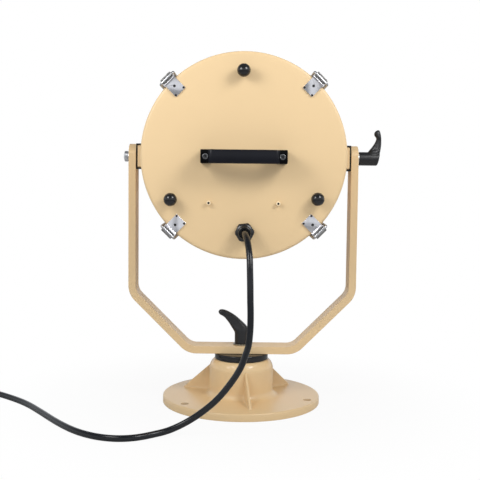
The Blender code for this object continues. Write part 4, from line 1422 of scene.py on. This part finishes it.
floor_mesh = bpy.data.meshes.new("floor")
floor_mesh.from_pydata([(-9, -9, 0), (9, -9, 0), (9, 9, 0), (-9, 9, 0)], [], [(0, 1, 2, 3)])
floor_finish = bpy.data.materials.new("floor")
floor_finish.use_nodes = True
tree = floor_finish.node_tree
pale = tree.nodes["Principled BSDF"]
pale.inputs["Base Color"].default_value = (0.78, 0.78, 0.78, 1)
pale.inputs["Roughness"].default_value = 0.9
pale.inputs["Specular IOR Level"].default_value = 0.0
where = tree.nodes.new("ShaderNodeTexCoord")
reach = tree.nodes.new("ShaderNodeVectorMath")
reach.operation = "LENGTH"
fade = tree.nodes.new("ShaderNodeMapRange")
fade.interpolation_type = "SMOOTHSTEP"
fade.inputs["From Min"].default_value = 0.12
fade.inputs["From Max"].default_value = 0.5
fade.inputs["To Min"].default_value = 0.92
fade.inputs["To Max"].default_value = 1.0
tree.links.new(where.outputs["Object"], reach.inputs[0])
tree.links.new(reach.outputs["Value"], fade.inputs["Value"])
seen_white(
    tree, pale.outputs["BSDF"], tree.nodes["Material Output"].inputs["Surface"], fade.outputs["Result"]
)
floor = bpy.data.objects.new("floor", floor_mesh)
bpy.context.scene.collection.objects.link(floor)
floor_mesh.materials.append(floor_finish)
floor.location.z = -0.0002

# The room is bright behind the light and dimmer behind the camera.
world = bpy.data.worlds.new("studio")
world.use_nodes = True
tree = world.node_tree
air = tree.nodes["Background"]
air.inputs["Color"].default_value = (0.97, 1.0, 1.04, 1)
where = tree.nodes.new("ShaderNodeTexCoord")
parts = tree.nodes.new("ShaderNodeSeparateXYZ")
depth = tree.nodes.new("ShaderNodeMapRange")
depth.interpolation_type = "SMOOTHSTEP"
depth.inputs["From Min"].default_value = -0.2
depth.inputs["From Max"].default_value = 0.5
depth.inputs["To Min"].default_value = 0.9
depth.inputs["To Max"].default_value = 1.0
tree.links.new(where.outputs["Generated"], parts.inputs["Vector"])
tree.links.new(parts.outputs["Y"], depth.inputs["Value"])
ceiling = tree.nodes.new("ShaderNodeMapRange")
ceiling.interpolation_type = "SMOOTHSTEP"
ceiling.inputs["From Min"].default_value = 0.2
ceiling.inputs["From Max"].default_value = 0.7
ceiling.inputs["To Min"].default_value = 1.0
ceiling.inputs["To Max"].default_value = 0.26
tree.links.new(parts.outputs["Z"], ceiling.inputs["Value"])
level = tree.nodes.new("ShaderNodeMath")
level.operation = "MULTIPLY"
tree.links.new(depth.outputs["Result"], level.inputs[0])
tree.links.new(ceiling.outputs["Result"], level.inputs[1])
tree.links.new(level.outputs["Value"], air.inputs["Strength"])
seen_white(tree, air.outputs["Background"], tree.nodes["World Output"].inputs["Surface"], 1.0)
bpy.context.scene.world = world
bpy.context.scene.view_settings.view_transform = "Standard"
bpy.context.scene.view_settings.look = "None"


def area(name, place, target, size, power, colour=(1, 1, 1)):
    lamp = bpy.data.lights.new(name, "AREA")
    lamp.shape = "RECTANGLE"
    lamp.size, lamp.size_y = size
    lamp.energy = power
    lamp.color = colour
    obj = bpy.data.objects.new(name, lamp)
    bpy.context.scene.collection.objects.link(obj)
    obj.location = place
    obj.rotation_euler = (Vector(target) - Vector(place)).to_track_quat("-Z", "Y").to_euler()
    return obj


area("key_left", (-0.464, -0.527, 0.749), (0, -0.1, 0.4), (0.28, 0.28), 2.15)
area("key_right", (0.54, -0.624, 0.934), (0, -0.1, 0.4), (0.36, 0.36), 4.35)

# --------------------------------------------------------------------- camera
PITCH, YAW, ROLL = 0.0737, 0.0017, 0.0110
ahead = Vector(
    (math.sin(YAW) * math.cos(PITCH), math.cos(YAW) * math.cos(PITCH), -math.sin(PITCH))
)
right = Vector((math.cos(YAW), -math.sin(YAW), 0))
up = right.cross(ahead)
right, up = (
    right * math.cos(ROLL) + up * math.sin(ROLL),
    up * math.cos(ROLL) - right * math.sin(ROLL),
)
camera_data = bpy.data.cameras.new("camera")
camera_data.sensor_width = 36.0
camera_data.lens = 63.75
camera = bpy.data.objects.new("camera", camera_data)
bpy.context.scene.collection.objects.link(camera)
camera.matrix_world = Matrix.Translation((-0.0071, -1.4715, 0.3911)) @ Matrix(
    (right, up, -ahead)
).transposed().to_4x4()
bpy.context.scene.camera = camera
